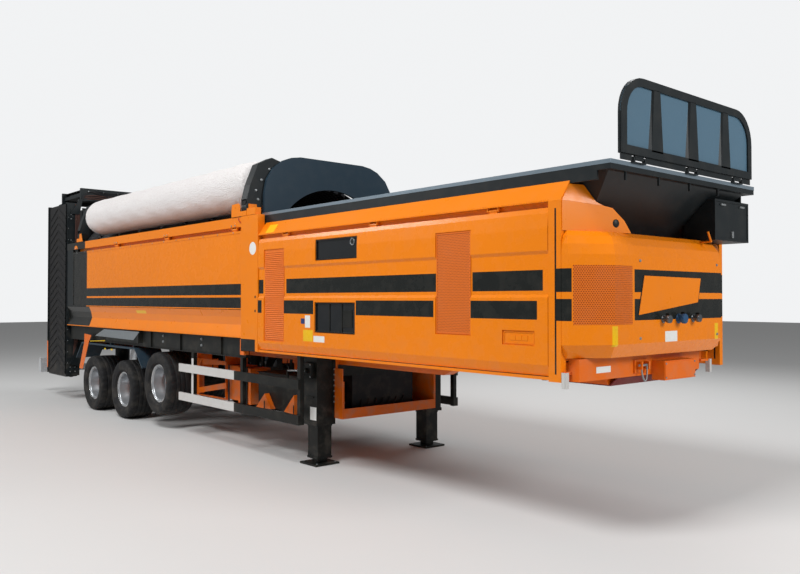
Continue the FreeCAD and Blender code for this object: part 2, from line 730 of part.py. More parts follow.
def housing_door():
    x0 = section_front_x + swing_gap
    x1 = housing_front_x - swing_gap
    inner = door_outer_y - door_thickness
    panel = prism_x(door_profile(inner), x0, x1)
    barrels, bores = hinge_barrels(door_hinge_xs, door_hinge_y, door_hinge_z, door_top_z,
                                   12.0, 6.0, 90.0)
    door = join([panel] + barrels).cut(Part.makeCompound(bores))
    for row in door_openings():
        floor_y = door_outer_y - row["depth"]
        door = door.cut(box(row["x0"], row["x1"], floor_y, half_width + 1.0, row["z0"], row["z1"]))
    save("housing_door_left", [door])
    save("housing_door_right", [mirrored(door)])


def drum_wall_doors():
    x1 = section_rear_x - 10.0
    inner = wall_outer_y - wall_thickness
    panel = box(wall_rear_x, x1, inner, wall_outer_y, wall_bottom_z, wall_top_z)
    barrels, bores = hinge_barrels(wall_hinge_xs, wall_hinge_y, wall_hinge_z, wall_top_z,
                                   16.0, 8.0, 90.0)
    door = join([panel] + barrels).cut(Part.makeCompound(bores))
    save("drum_wall_left", [door])
    save("drum_wall_right", [mirrored(door)])


def hood_level(z, front, corner_y, side_x, side_y, inset):
    """Plan outline of the hood at one height; its left corner is cut back further than its right."""
    left_x = front_post_x + (side_x - front_post_x) * 0.4
    points = [V(front_post_x, -side_y + inset, z), V(side_x - inset * 0.6, -side_y + inset, z),
              V(front - inset, -corner_y + inset * 0.4, z),
              V(front - inset, corner_y - hood_left_cut - inset * 0.4, z),
              V(left_x - inset * 0.3, side_y - 100.0 - inset, z),
              V(front_post_x, side_y - 50.0 - inset, z)]
    return Part.makePolygon(points + [points[0]])


def hood_rows():
    return [
        {"z": 1455.0, "front": 6630.0, "corner_in": 350.0, "side_x": 6440.0, "side_in": 50.0},
        {"z": 1560.0, "front": 6700.0, "corner_in": 310.0, "side_x": 6490.0, "side_in": 3.0},
        {"z": 2260.0, "front": 6700.0, "corner_in": 310.0, "side_x": 6490.0, "side_in": 3.0},
        {"z": 2340.0, "front": 6682.0, "corner_in": 320.0, "side_x": 6482.0, "side_in": 7.0},
        {"z": 2405.0, "front": 6640.0, "corner_in": 345.0, "side_x": 6462.0, "side_in": 25.0},
        {"z": 2445.0, "front": 6580.0, "corner_in": 385.0, "side_x": 6440.0, "side_in": 53.0},
    ]


def hood():
    outer = []
    inner = []
    rows = hood_rows()
    for row in rows:
        level = (row["front"], half_width - row["corner_in"], row["side_x"],
                 half_width - row["side_in"])
        outer.append(hood_level(row["z"], *level, 0.0))
        inner.append(hood_level(row["z"] - 12.0, *level, 14.0))
    shell = Part.makeLoft(outer, True, True).cut(Part.makeLoft(inner, True, True))
    save("front_hood", [shell])

    # Fascia beside the hopper on the right: an upright facet and one that leans back over it
    start = V(front_post_x, -half_width + 13.0, 0.0)
    run = V(150.0, 560.0, 0.0)
    low = rows[-1]["z"]

    def along(share, z):
        return V(start.x + run.x * share, start.y + run.y * share, z)

    a = along(0.0, roof_edge_z)
    b = along(0.70, 2655.0)
    lower = [along(0.0, low), along(1.19, low), along(1.07, 2543.0), along(0.86, 2640.0), b, a]
    facet = plate(lower, sheet, V(1, -0.3, 0))
    lean = (b - a).cross(V(0.0, 104.0, 160.0))

    def leaning(y, z):
        return V(a.x - (lean.y * (y - a.y) + lean.z * (z - a.z)) / lean.x, y, z)

    upper = plate([a, b, leaning(337.0 - half_width, 2682.0), leaning(240.0 - half_width, 2812.0),
                   leaning(99.0 - half_width, 2812.0)], sheet, V(1, -0.3, 0.5))
    save("corner_fascia", [join([facet, upper])])

    # Box on the left front corner, cut back to the hopper's front wall
    case = [(front_post_x + 2.0, low), (6715.0, low), (6715.0, 2815.0), (6650.0, 2815.0),
            (front_post_x + 2.0, 2596.0)]
    save("corner_box", [prism_y(case, half_width - 715.0, half_width - 75.0)])


def front_end():
    x0 = front_post_x
    x1 = x0 + 98.0
    low = sill_bottom_z - 5.0
    plan = [(x0, -section_inner_y), (x1, -section_inner_y), (x1, half_width - 645.0),
            (x0, half_width - 455.0)]
    beam = prism_z(plan, low, 1450.0)
    beam = beam.cut(box(x0 - 1.0, x1 - 10.0, -skid_half_width - 10.0, skid_half_width + 10.0,
                        low - 1.0, 1300.0))
    tow = box(x1, x1 + 120.0, -160.0, 345.0, low - 45.0, low + 117.0)
    right_lamp = box(x0 + 4.0, x0 + 34.0, 4.0 - half_width, 39.0 - half_width, 1225.0, 1345.0)
    right_arm = box(x0 + 8.0, x0 + 30.0, 25.0 - half_width, -section_inner_y, 1330.0, 1352.0)
    left_lamp = box(x0 + 4.0, x0 + 34.0, half_width - 340.0, half_width - 305.0, 1225.0, 1345.0)
    left_arm = box(x0 + 8.0, x0 + 30.0, half_width - 480.0, half_width - 320.0, 1330.0, 1352.0)
    save("front_beam", [join([beam, tow, right_lamp, right_arm, left_lamp, left_arm])])

    shapes = []
    face_x = hood_rows()[1]["front"]
    for y, radius in ((-280.0, 34.0), (-40.0, 42.0), (200.0, 34.0)):
        shapes.append(rod_x(radius, face_x, face_x + 70.0, y, 1750.0))
    save("air_couplings", shapes)


def engine():
    half_y = beam_inner_y + 70.0
    save("engine_block", [box(4750.0, 6150.0, -half_y, half_y, beam_top_z, 1880.0)])


def collecting_belt():
    half_y = beam_inner_y - 90.0
    save("collecting_belt", [obround_y(-5930.0, 1370.0, 1190.0, 1290.0, -half_y, half_y)])


def rear_bumper():
    arm_y0 = beam_inner_y + 30.0
    arm_y1 = arm_y0 + 80.0
    level_x = -6150.0
    arm = [(beam_rear_x, beam_bottom_z), (beam_rear_x, 1350.0), (level_x, 1350.0), (-6700.0, 720.0),
           (-6700.0, 440.0), (level_x, beam_bottom_z)]
    bar = box(rear_end_x, rear_end_x + 125.0, -skirt_outer_y, skirt_outer_y, 430.0, 560.0)
    pads = []
    for y in (-skirt_outer_y, skirt_outer_y - 440.0):
        pads.append(box(rear_end_x, rear_end_x + 110.0, y, y + 440.0, 560.0, 720.0))
    arms = both_sides([prism_y(arm, arm_y0, arm_y1)])
    save("rear_bumper", [join([bar] + pads + arms)])


def conveyor_brackets():
    beam_outer_y = beam_inner_y + beam_width
    outline = [(beam_outer_y, 1160.0), (beam_outer_y, 1400.0), (side_pivot_y + 20.0, side_pivot_z + 50.0),
               (side_pivot_y + 50.0, side_pivot_z - 20.0), (side_pivot_y, side_pivot_z - 60.0)]
    front = mirrored(prism_x(outline, -4945.0, -4905.0))
    front_pin = rod_x(conveyor_pin_radius, -4998.0, -4905.0, -side_pivot_y, side_pivot_z)
    arm_y = beam_inner_y + 110.0
    rear_outline = [(arm_y, 1170.0), (arm_y, 1300.0), (side_pivot_y + 20.0, side_pivot_z + 50.0),
                    (side_pivot_y + 50.0, side_pivot_z - 20.0), (side_pivot_y, side_pivot_z - 60.0)]
    rear = mirrored(prism_x(rear_outline, -6190.0, -6160.0))
    rear_pin = rod_x(conveyor_pin_radius, -6190.0, -6102.0, -side_pivot_y, side_pivot_z)
    side_pieces = [join([front, front_pin]), join([rear, rear_pin])]

    y0 = beam_inner_y - 24.0
    pivot_x = rear_conveyor_front_x - rear_pivot_inset
    low = 1195.0
    outline = [(-5900.0, low), (-5900.0, 1400.0), (pivot_x - 45.0, 1400.0),
               (pivot_x - 45.0, rear_pivot_z - 45.0), (pivot_x + 35.0, rear_pivot_z - 45.0),
               (pivot_x + 35.0, low)]
    cheek = prism_y(outline, y0, beam_inner_y)
    pin = rod_y(conveyor_pin_radius, y0 - 60.0, beam_inner_y, pivot_x, rear_pivot_z)
    save("conveyor_brackets", side_pieces + both_sides([join([cheek, pin])]))


def side_conveyor():
    x0 = side_conveyor_rear_x
    x1 = side_conveyor_front_x
    inner = side_conveyor_inner_y
    outer = side_conveyor_outer_y
    low = side_conveyor_bottom_z
    frame = conveyor_frame_width
    cheeks = []
    for near in (x0, x1 - frame):
        cheeks.append(box(near, near + frame, inner, outer, low,
                          side_fold_z - side_ear_radius - swing_gap))
    arm = [(side_pivot_y - 52.0, side_pivot_z), (side_pivot_y, side_pivot_z + 52.0),
           (side_pivot_y + 52.0, side_pivot_z), (outer - 60.0, 700.0), (inner, 640.0)]
    arms = []
    for near in (x1, x0 - 40.0):
        arms.append(prism_x(arm, near, near + 40.0))
    bore = rod_x(conveyor_pin_radius + pin_gap, x0 - 100.0, x1 + 100.0, side_pivot_y, side_pivot_z)
    fold_pins = [rod_x(22.0, near - 34.0, near + 6.0, inner, side_fold_z) for near in (x0, x1 + 28.0)]
    fold_ears = []
    for near in (x0 - 34.0, x1 + 18.0):
        ear = [(inner - 30.0, side_fold_z + 30.0), (inner + 30.0, side_fold_z + 30.0),
               (outer - 60.0, side_fold_z - 260.0), (inner + 30.0, side_fold_z - 260.0)]
        fold_ears.append(prism_x(ear, near, near + 16.0))
    blocks = [box(near, near + 18.0, inner + 40.0, outer - 70.0, side_fold_z - 250.0,
                  side_fold_z - 150.0) for near in (x0 - 18.0, x1)]
    belt = box(x0 + frame, x1 - frame, inner + belt_sink, outer - belt_sink,
               low - 20.0, side_fold_z - 60.0)
    lower = join(cheeks + [belt] + arms + fold_pins + fold_ears + blocks).cut(bore)
    save("side_conveyor_lower", [mirrored(lower)])

    # The upper section lies over the machine, its carrying side down
    tip = side_upper_length - inner
    upper = [(-inner + swing_gap, side_fold_z), (tip - 60.0, side_fold_z + 90.0),
             (tip, side_fold_z + 130.0), (tip, side_fold_z + 210.0), (tip - 60.0, side_fold_z + 250.0),
             (-inner + swing_gap, side_fold_z + 250.0)]
    cheeks = [prism_x(upper, near, near + frame) for near in (x0, x1 - frame)]
    tie_z = side_fold_z + 130.0
    cheeks.append(box(x0 + frame, x1 - frame, 40.0 - inner, tip - 40.0, tie_z - 30.0, tie_z + 30.0))
    ears = []
    for near in (x0, x1 - frame):
        ears.append(rod_x(side_ear_radius, near, near + frame, -inner, side_fold_z).common(
            box(x0, x1, -inner - 60.0, 0.0, side_fold_z, side_fold_z + 100.0)))
    bore = rod_x(22.0 + pin_gap, x0 - 10.0, x1 + 10.0, -inner, side_fold_z)
    save("side_conveyor_upper", [join(cheeks + ears).cut(bore)])


def rear_conveyor():
    x1 = rear_conveyor_front_x
    x0 = x1 - rear_conveyor_thickness
    half = rear_conveyor_half_y
    pivot_x = x1 - rear_pivot_inset
    low = rear_conveyor_bottom_z
    frame = conveyor_frame_width
    slab = box(x0, x1, -half, half, low, rear_conveyor_top_z)
    bore = rod_y(conveyor_pin_radius + pin_gap, -half - 10.0, half + 10.0, pivot_x, rear_pivot_z)
    fold_x = x0 - rear_conveyor_gap / 2
    fold_z = rear_conveyor_top_z + rear_fold_above
    lugs = []
    for y in (-half, half - frame):
        lugs.append(box(fold_x, x0 + 60.0, y, y + frame, rear_conveyor_top_z - 4.0, fold_z + 6.0))
        lugs.append(rod_y(16.0, y, y + frame, fold_x, fold_z))
    inner = half - frame
    for y in (-half, inner - 80.0):
        lugs.append(rod_y(rear_fold_pin, y, y + frame + 80.0, fold_x, fold_z))
    save("rear_conveyor_lower", [join([slab] + lugs).cut(bore)])

    x3 = x0 - rear_conveyor_gap
    x2 = x3 - rear_conveyor_thickness
    upper = [box(x2, x3, -half, half, rear_conveyor_top_z - rear_upper_length, rear_conveyor_top_z)]
    for y in (-inner + 6.0, inner - 66.0):
        upper.append(rod_y(16.0, y, y + 60.0, fold_x, fold_z))
        upper.append(box(fold_x - 40.0, fold_x, y, y + 60.0, rear_conveyor_top_z - 5.0, fold_z))
    bore = rod_y(rear_fold_pin + pin_gap, -half, half, fold_x, fold_z)
    save("rear_conveyor_upper", [join(upper).cut(bore)])


def brush():
    z = drum_axis_z + math.sqrt((drum_hoop_radius + brush_radius + brush_gap) ** 2 - brush_y ** 2)
    roll = rod_x(brush_radius, brush_rear_x, brush_front_x, -brush_y, z)
    arm_rear = brush_arm_rows[0]
    arm_front = brush_arm_rows[1]
    core = rod_x(brush_core_radius, arm_rear["x0"] + 10.0, arm_front["x1"] - 10.0, -brush_y, z)
    save("brush_roll", [join([roll, core])])

    along = V(0, brush_pivot_y - brush_y, z - brush_pivot_z)
    along.normalize()
    across = V(0, -along.z, along.y)
    start = V(0, -brush_pivot_y, brush_pivot_z)
    end = V(0, -brush_y, z) + along * brush_arm_past
    corners = [start + across * brush_arm_half, end + across * brush_arm_half,
               end - across * brush_arm_half, start - across * brush_arm_half]
    shapes = []
    for row in brush_arm_rows:
        bar = prism_x([(point.y, point.z) for point in corners], row["x0"], row["x1"])
        foot = rod_x(brush_arm_half, row["x0"], row["x1"], -brush_pivot_y, brush_pivot_z)
        bores = Part.makeCompound([
            rod_x(brush_core_radius + pin_gap, row["x0"] - 5.0, row["x1"] + 5.0, -brush_y, z),
            rod_x(conveyor_pin_radius + pin_gap, row["x0"] - 5.0, row["x1"] + 5.0,
                  -brush_pivot_y, brush_pivot_z)])
        shapes.append(join([bar, foot]).cut(bores))
    save("brush_arms", shapes)


def brush_brackets():
    brackets = []
    for row in brush_arm_rows:
        pieces = [rod_x(conveyor_pin_radius, row["x0"] - 26.0, row["x1"] + 18.0,
                        -brush_pivot_y, brush_pivot_z)]
        for near in (row["x0"] - 26.0, row["x1"] + swing_gap):
            pieces.append(box(near, near + 20.0, -brush_pivot_y - 60.0, -brush_pivot_y + 50.0,
                              rail_top_z, brush_pivot_z + 40.0))
        pieces.append(box(row["x0"] - 26.0, row["x1"] + swing_gap + 20.0, -brush_pivot_y - 60.0,
                          -brush_pivot_y + 50.0, rail_top_z, rail_top_z + 16.0))
        brackets.append(join(pieces))
    return brackets


wheels()
axles()
suspension()
chassis()
kingpin_plate()
skirts()
fenders()
landing_legs()
leg_tray()
side_guards()
drum_sides()
drum()
drum_rollers()
inlet_plate()
hopper()
flap()
housing_frame()
housing_door()
drum_wall_doors()
hood()
front_end()
engine()
collecting_belt()
rear_bumper()
conveyor_brackets()
side_conveyor()
rear_conveyor()
brush()
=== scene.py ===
import bpy
import math
import random
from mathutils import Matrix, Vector


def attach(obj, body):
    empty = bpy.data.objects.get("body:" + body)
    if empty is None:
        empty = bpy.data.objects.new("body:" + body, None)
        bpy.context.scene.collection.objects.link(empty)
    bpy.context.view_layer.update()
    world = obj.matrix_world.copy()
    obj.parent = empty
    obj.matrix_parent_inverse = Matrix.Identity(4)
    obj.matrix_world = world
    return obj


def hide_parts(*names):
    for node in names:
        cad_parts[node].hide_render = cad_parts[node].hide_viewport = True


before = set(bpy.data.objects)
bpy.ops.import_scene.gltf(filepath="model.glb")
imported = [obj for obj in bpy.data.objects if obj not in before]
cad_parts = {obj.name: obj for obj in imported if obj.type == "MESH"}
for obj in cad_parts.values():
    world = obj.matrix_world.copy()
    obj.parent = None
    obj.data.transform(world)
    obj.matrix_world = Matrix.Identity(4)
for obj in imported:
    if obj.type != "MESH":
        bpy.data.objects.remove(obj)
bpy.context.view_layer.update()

random.seed(7)
print("frame loaded:", len(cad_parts), "CAD nodes")

# the machine's two sides, by the sign of their y
machineSides = (("right", -1), ("left", 1))

# Mesh helpers, lengths in metres


class Form:
    def __init__(self):
        self.verts = []
        self.faces = []
        self.tints = []
        self.smooth = []

    def add(self, verts, faces, tint=0, smooth=False):
        start = len(self.verts)
        self.verts += [tuple(v) for v in verts]
        for face in faces:
            self.faces.append([start + i for i in face])
            self.tints.append(tint)
            self.smooth.append(smooth)
        return self

    def box(self, x0, x1, y0, y1, z0, z1, tint=0):
        # either order will do for the two x and for the two y
        verts = [(x, y, z) for x in sorted((x0, x1)) for y in sorted((y0, y1)) for z in (z0, z1)]
        faces = [(0, 1, 3, 2), (4, 6, 7, 5), (0, 4, 5, 1), (2, 3, 7, 6), (0, 2, 6, 4), (1, 5, 7, 3)]
        return self.add(verts, faces, tint)

    def block(self, foot, top, tint=0):
        # solid between two outlines of four points each
        faces = [(0, 1, 2, 3), (7, 6, 5, 4), (0, 4, 5, 1), (1, 5, 6, 2), (2, 6, 7, 3), (3, 7, 4, 0)]
        return self.add(foot + top, faces, tint)

    def prism(self, outline, push, tint=0):
        # flat outline of 3-D points, pushed along a vector
        push = Vector(push)
        low = [Vector(p) for p in outline]
        count = len(low)
        verts = low + [p + push for p in low]
        faces = [tuple(reversed(range(count))), tuple(range(count, 2 * count))]
        faces += [(i, (i + 1) % count, count + (i + 1) % count, count + i) for i in range(count)]
        return self.add(verts, faces, tint)

    def lathe(self, profile, centre, axis, sides=48, tint=0, closed=False, smooth=True):
        # profile of (radius, offset along the axis)
        axis = Vector(axis).normalized()
        across = axis.orthogonal().normalized()
        other = axis.cross(across)
        centre = Vector(centre)
        verts = []
        for radius, offset in profile:
            for i in range(sides):
                turn = 2 * math.pi * i / sides
                spoke = across * math.cos(turn) + other * math.sin(turn)
                verts.append(centre + axis * offset + spoke * radius)
        rows = len(profile)
        faces = []
        for row in range(rows if closed else rows - 1):
            after = (row + 1) % rows
            for i in range(sides):
                j = (i + 1) % sides
                faces.append((row * sides + i, row * sides + j, after * sides + j, after * sides + i))
        return self.add(verts, faces, tint, smooth)

    def rod(self, start, end, radius, sides=20, tint=0):
        # round bar with flat ends and a small chamfer
        start, end = Vector(start), Vector(end)
        long = (end - start).length
        lip = min(radius * 0.15, 0.004)
        profile = [(0.0001, 0), (radius - lip, 0), (radius, lip), (radius, long - lip), (radius - lip, long),
                   (0.0001, long)]
        return self.lathe(profile, start, end - start, sides, tint)

    def bolt(self, centre, axis, size=0.012, tint=0):
        # washer and hexagon head
        axis = Vector(axis).normalized()
        centre = Vector(centre)
        self.lathe([(0.0001, 0), (size * 1.25, 0), (size * 1.25, size * 0.2), (0.0001, size * 0.2)], centre,
                   axis, 16, tint)
        head = [(0.0001, size * 0.2), (size, size * 0.2), (size, size * 0.75), (size * 0.85, size * 0.9),
                (0.0001, size * 0.9)]
        return self.lathe(head, centre, axis, 6, tint, smooth=False)

    def finish(self, name, materials, body, slotName, bevel=0.0, replaces=()):
        mesh = bpy.data.meshes.new(name)
        mesh.from_pydata(self.verts, [], self.faces)
        mesh.polygons.foreach_set("material_index", self.tints)
        mesh.polygons.foreach_set("use_smooth", self.smooth)
        for material in materials:
            mesh.materials.append(material)
        mesh.validate()
        mesh.update()
        piece = bpy.data.objects.new(name, mesh)
        bpy.context.scene.collection.objects.link(piece)
        if bevel:
            edge = piece.modifiers.new("edges", "BEVEL")
            edge.width = bevel
            edge.segments = 2
            edge.limit_method = "ANGLE"
            edge.angle_limit = math.radians(40)
            edge.harden_normals = False
        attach(piece, body)
        if replaces:
            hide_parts(*replaces)
        return piece


def hoses(name, runs, radius, material, body):
    # bundle of clipped hoses, each a smooth line through its points
    curve = bpy.data.curves.new(name, "CURVE")
    curve.dimensions = "3D"
    curve.bevel_depth = radius
    curve.bevel_resolution = 3
    curve.resolution_u = 6
    curve.use_fill_caps = True
    for points in runs:
        line = curve.splines.new("NURBS")
        line.points.add(len(points) - 1)
        for slot, point in zip(line.points, points):
            slot.co = (*point, 1.0)
        line.order_u = 3
        line.use_endpoint_u = True
    curve.materials.append(material)
    piece = bpy.data.objects.new(name, curve)
    bpy.context.scene.collection.objects.link(piece)
    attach(piece, body)
    return piece


# Shader groups shared by the finishes

shades = {}


def newGroup(name, inputs, outputs):
    group = bpy.data.node_groups.new(name, "ShaderNodeTree")
    for label, kind, value in inputs:
        socket = group.interface.new_socket(name=label, in_out="INPUT", socket_type="NodeSocket" + kind)
        socket.default_value = value
    for label, kind in outputs:
        group.interface.new_socket(name=label, in_out="OUTPUT", socket_type="NodeSocket" + kind)
    shades[name] = group
    entry = group.nodes.new("NodeGroupInput")
    leave = group.nodes.new("NodeGroupOutput")
    entry.location = (-1200, 0)
    leave.location = (600, 0)
    return group, entry, leave


def mathNode(tree, operation, a, b=None, clamp=False):
    node = tree.nodes.new("ShaderNodeMath")
    node.operation = operation
    node.use_clamp = clamp
    for index, value in enumerate((a, b)):
        if value is None:
            continue
        if isinstance(value, (int, float)):
            node.inputs[index].default_value = value
        else:
            tree.links.new(value, node.inputs[index])
    return node.outputs[0]


def smoothMask(tree, value, low, high):
    node = tree.nodes.new("ShaderNodeMapRange")
    node.interpolation_type = "SMOOTHSTEP"
    for key, item in (("Value", value), ("From Min", low), ("From Max", high)):
        if isinstance(item, (int, float)):
            node.inputs[key].default_value = item
        else:
            tree.links.new(item, node.inputs[key])
    return node.outputs["Result"]


def mixColour(tree, factor, a, b):
    node = tree.nodes.new("ShaderNodeMix")
    node.data_type = "RGBA"
    sockets = {"Factor": node.inputs[0], "A": node.inputs[6], "B": node.inputs[7]}
    for key, item in (("Factor", factor), ("A", a), ("B", b)):
        if isinstance(item, (int, float)):
            sockets[key].default_value = item
        elif isinstance(item, (tuple, list)):
            sockets[key].default_value = (*item, 1.0) if len(item) == 3 else item
        else:
            tree.links.new(item, sockets[key])
    return node.outputs[2]


def noise(tree, vector, scale, detail=3.0, roughness=0.55):
    node = tree.nodes.new("ShaderNodeTexNoise")
    node.inputs["Scale"].default_value = scale
    node.inputs["Detail"].default_value = detail
    node.inputs["Roughness"].default_value = roughness
    tree.links.new(vector, node.inputs["Vector"])
    return node.outputs["Fac"]


def objectPlace(tree):
    return tree.nodes.new("ShaderNodeTexCoord").outputs["Object"]


def objectAxes(tree):
    split = tree.nodes.new("ShaderNodeSeparateXYZ")
    tree.links.new(objectPlace(tree), split.inputs[0])
    return split.outputs


def buildSurfaceFilm():
    # colour drift, fine dust that gathers low down, and a slightly uneven film
    group, entry, leave = newGroup("surfaceFilm", [
        ("Colour", "Color", (0.8, 0.8, 0.8, 1)), ("Roughness", "Float", 0.4), ("Drift", "Float", 0.06),
        ("Dust", "Float", 0.25), ("Grain", "Float", 120.0)],
        [("Colour", "Color"), ("Roughness", "Float"), ("Height", "Float")])
    place = objectPlace(group)
    axes = objectAxes(group)
    broad = noise(group, place, 0.9, 4.0)
    middle = noise(group, place, 7.0, 5.0)
    grain = group.nodes.new("ShaderNodeTexNoise")
    grain.inputs["Detail"].default_value = 2.0
    group.links.new(place, grain.inputs["Vector"])
    group.links.new(entry.outputs["Grain"], grain.inputs["Scale"])
    swing = mathNode(group, "MULTIPLY", mathNode(group, "SUBTRACT", broad, 0.5), entry.outputs["Drift"])
    shade = mathNode(group, "ADD", 1.0, mathNode(group, "MULTIPLY", swing, 2.0))
    hue = group.nodes.new("ShaderNodeHueSaturation")
    group.links.new(shade, hue.inputs["Value"])
    group.links.new(entry.outputs["Colour"], hue.inputs["Color"])
    low = smoothMask(group, axes["Z"], 1.9, 0.2)
    patch = smoothMask(group, middle, 0.42, 0.72)
    gathered = mathNode(group, "ADD", mathNode(group, "MULTIPLY", low, 0.7), 0.12)
    settled = mathNode(group, "MULTIPLY", gathered, patch)
    amount = mathNode(group, "MULTIPLY", settled, entry.outputs["Dust"], clamp=True)
    group.links.new(mixColour(group, amount, hue.outputs[0], (0.30, 0.26, 0.21)), leave.inputs["Colour"])
    rough = mathNode(group, "ADD", entry.outputs["Roughness"], mathNode(group, "MULTIPLY", middle, 0.10))
    rough = mathNode(group, "ADD", rough, mathNode(group, "MULTIPLY", amount, 0.5), clamp=True)
    group.links.new(rough, leave.inputs["Roughness"])
    group.links.new(grain.outputs["Fac"], leave.inputs["Height"])


def buildBandMask():
    # 1 inside a block given by its height, its stretch along X and its stretch along Y
    group, entry, leave = newGroup("bandMask", [
        ("Low", "Float", 0.0), ("High", "Float", 1.0), ("Start", "Float", -100.0), ("End", "Float", 100.0),
        ("Right", "Float", -100.0), ("Left", "Float", 100.0)], [("Mask", "Float")])
    axes = objectAxes(group)
    inside = 1.0
    for axis, least, most in (("Z", "Low", "High"), ("X", "Start", "End"), ("Y", "Right", "Left")):
        above = mathNode(group, "GREATER_THAN", axes[axis], entry.outputs[least])
        below = mathNode(group, "LESS_THAN", axes[axis], entry.outputs[most])
        inside = mathNode(group, "MULTIPLY", inside, mathNode(group, "MULTIPLY", above, below))
    group.links.new(inside, leave.inputs["Mask"])


def buildDiscMask():
    # 1 inside a round spot of the side view on the right side
    group, entry, leave = newGroup("discMask", [
        ("Along", "Float", 0.0), ("Up", "Float", 0.0), ("Radius", "Float", 0.05)], [("Mask", "Float")])
    axes = objectAxes(group)
    total = 0.0
    for axis, label in (("X", "Along"), ("Z", "Up")):
        away = mathNode(group, "SUBTRACT", axes[axis], entry.outputs[label])
        total = mathNode(group, "ADD", total, mathNode(group, "MULTIPLY", away, away))
    near = mathNode(group, "LESS_THAN", mathNode(group, "SQRT", total), entry.outputs["Radius"])
    right = mathNode(group, "LESS_THAN", axes["Y"], -1.0)
    group.links.new(mathNode(group, "MULTIPLY", near, right), leave.inputs["Mask"])


def buildHoleGrid():
    # staggered round holes over two coordinates
    group, entry, leave = newGroup("holeGrid", [
        ("Across", "Float", 0.0), ("Up", "Float", 0.0), ("Pitch", "Float", 0.02), ("Hole", "Float", 0.3)],
        [("Mask", "Float")])

    def lattice(shift):
        cells = []
        for label, stretch in (("Across", 1.0), ("Up", 1.732)):
            cell = mathNode(group, "MULTIPLY", entry.outputs["Pitch"], stretch)
            unit = mathNode(group, "DIVIDE", entry.outputs[label], cell)
            part = mathNode(group, "FRACT", mathNode(group, "ADD", unit, shift))
            centred = mathNode(group, "MULTIPLY", mathNode(group, "SUBTRACT", part, 0.5), stretch)
            cells.append(mathNode(group, "MULTIPLY", centred, centred))
        return mathNode(group, "SQRT", mathNode(group, "ADD", cells[0], cells[1]))

    near = mathNode(group, "MINIMUM", lattice(0.0), lattice(0.5))
    group.links.new(mathNode(group, "LESS_THAN", near, entry.outputs["Hole"]), leave.inputs["Mask"])


buildSurfaceFilm()
buildBandMask()
buildDiscMask()
buildHoleGrid()


def placeGroup(tree, name, **values):
    node = tree.nodes.new("ShaderNodeGroup")
    node.node_tree = shades[name]
    for key, value in values.items():
        if isinstance(value, (int, float)):
            node.inputs[key].default_value = value
        elif isinstance(value, (tuple, list)):
            node.inputs[key].default_value = (*value, 1.0)
        else:
            tree.links.new(value, node.inputs[key])
    return node


def surface(name, colour, roughness, drift=0.06, dust=0.25, grain=120.0, bump=0.02, depth=0.002, metallic=0.0,
            coat=0.0, tint=None, relief=None):
    # one finish: film over a base colour; tint(tree, colour) may paint on it, relief(tree) may add height
    material = bpy.data.materials.new(name)
    material.use_nodes = True
    tree = material.node_tree
    shader = tree.nodes["Principled BSDF"]
    shader.inputs["Metallic"].default_value = metallic
    shader.inputs["Coat Weight"].default_value = coat
    shader.inputs["Coat Roughness"].default_value = 0.15
    shader.inputs["Specular IOR Level"].default_value = 0.22
    base = tint(tree, colour) if tint else colour
    film = placeGroup(tree, "surfaceFilm", Colour=base, Roughness=roughness, Drift=drift, Dust=dust,
                      Grain=grain)
    tree.links.new(film.outputs["Colour"], shader.inputs["Base Color"])
    tree.links.new(film.outputs["Roughness"], shader.inputs["Roughness"])
    raised = tree.nodes.new("ShaderNodeBump")
    raised.inputs["Strength"].default_value = bump
    raised.inputs["Distance"].default_value = depth
    tree.links.new(film.outputs["Height"], raised.inputs["Height"])
    normal = raised.outputs[0]
    if relief:
        second = tree.nodes.new("ShaderNodeBump")
        second.inputs["Strength"].default_value = 0.8
        second.inputs["Distance"].default_value = 0.006
        tree.links.new(relief(tree), second.inputs["Height"])
        tree.links.new(normal, second.inputs["Normal"])
        normal = second.outputs[0]
    tree.links.new(normal, shader.inputs["Normal"])
    return material


# Colours and finishes

paint = {
    "orange": (0.87, 0.225, 0.003),
    "deepOrange": (0.80, 0.150, 0.004),
    "stripe": (0.011, 0.013, 0.012),
    "anthracite": (0.012, 0.016, 0.018),
    "slate": (0.022, 0.042, 0.062),
    "black": (0.008, 0.009, 0.008),
    "darkRed": (0.16, 0.012, 0.010),
    "silver": (0.62, 0.64, 0.66),
    "galvanised": (0.34, 0.36, 0.37),
    "rubber": (0.014, 0.014, 0.015),
    "bristle": (0.95, 0.92, 0.91),
    "glass": (0.010, 0.012, 0.014),
    "grille": (0.74, 0.165, 0.016),
    "white": (0.80, 0.80, 0.78),
    "yellow": (0.85, 0.50, 0.01),
    "blue": (0.02, 0.04, 0.16),
}

doorMarks = [
    # low, high, start, end, colour
    (1.980, 2.145, 1.900, 2.030, "stripe"), (1.980, 2.145, 2.530, 5.015, "stripe"),
    (1.980, 2.145, 5.470, 6.236, "stripe"), (1.750, 1.900, 1.900, 2.012, "stripe"),
    (1.750, 1.900, 2.500, 3.090, "stripe"), (1.750, 1.900, 3.845, 4.995, "stripe"),
    (1.750, 1.900, 5.455, 6.188, "stripe"), (1.600, 1.735, 2.930, 3.030, "white"),
    (1.640, 1.700, 2.850, 2.925, "blue"), (1.450, 1.575, 2.895, 3.080, "yellow"),
    (1.448, 1.515, 3.095, 3.300, "white"),
]
# painted shade: the black rows of the wall, rail and lower band paint the rear ends black where shade falls
# beside the side conveyor's dark frame; the other rows are real stripes and a label
wallStripesAndShade = [(1.800, 1.935, -4.60, 1.60, "stripe"), (1.965, 2.105, -4.60, 1.60, "stripe"),
             (1.700, 2.900, -4.70, -3.93, "black")]
railShade = [(1.400, 3.200, -5.10, -4.02, "black")]
bandLabelAndShade = [(1.400, 1.900, -5.70, -3.80, "black"), (1.695, 1.740, -1.790, -1.430, "yellow")]
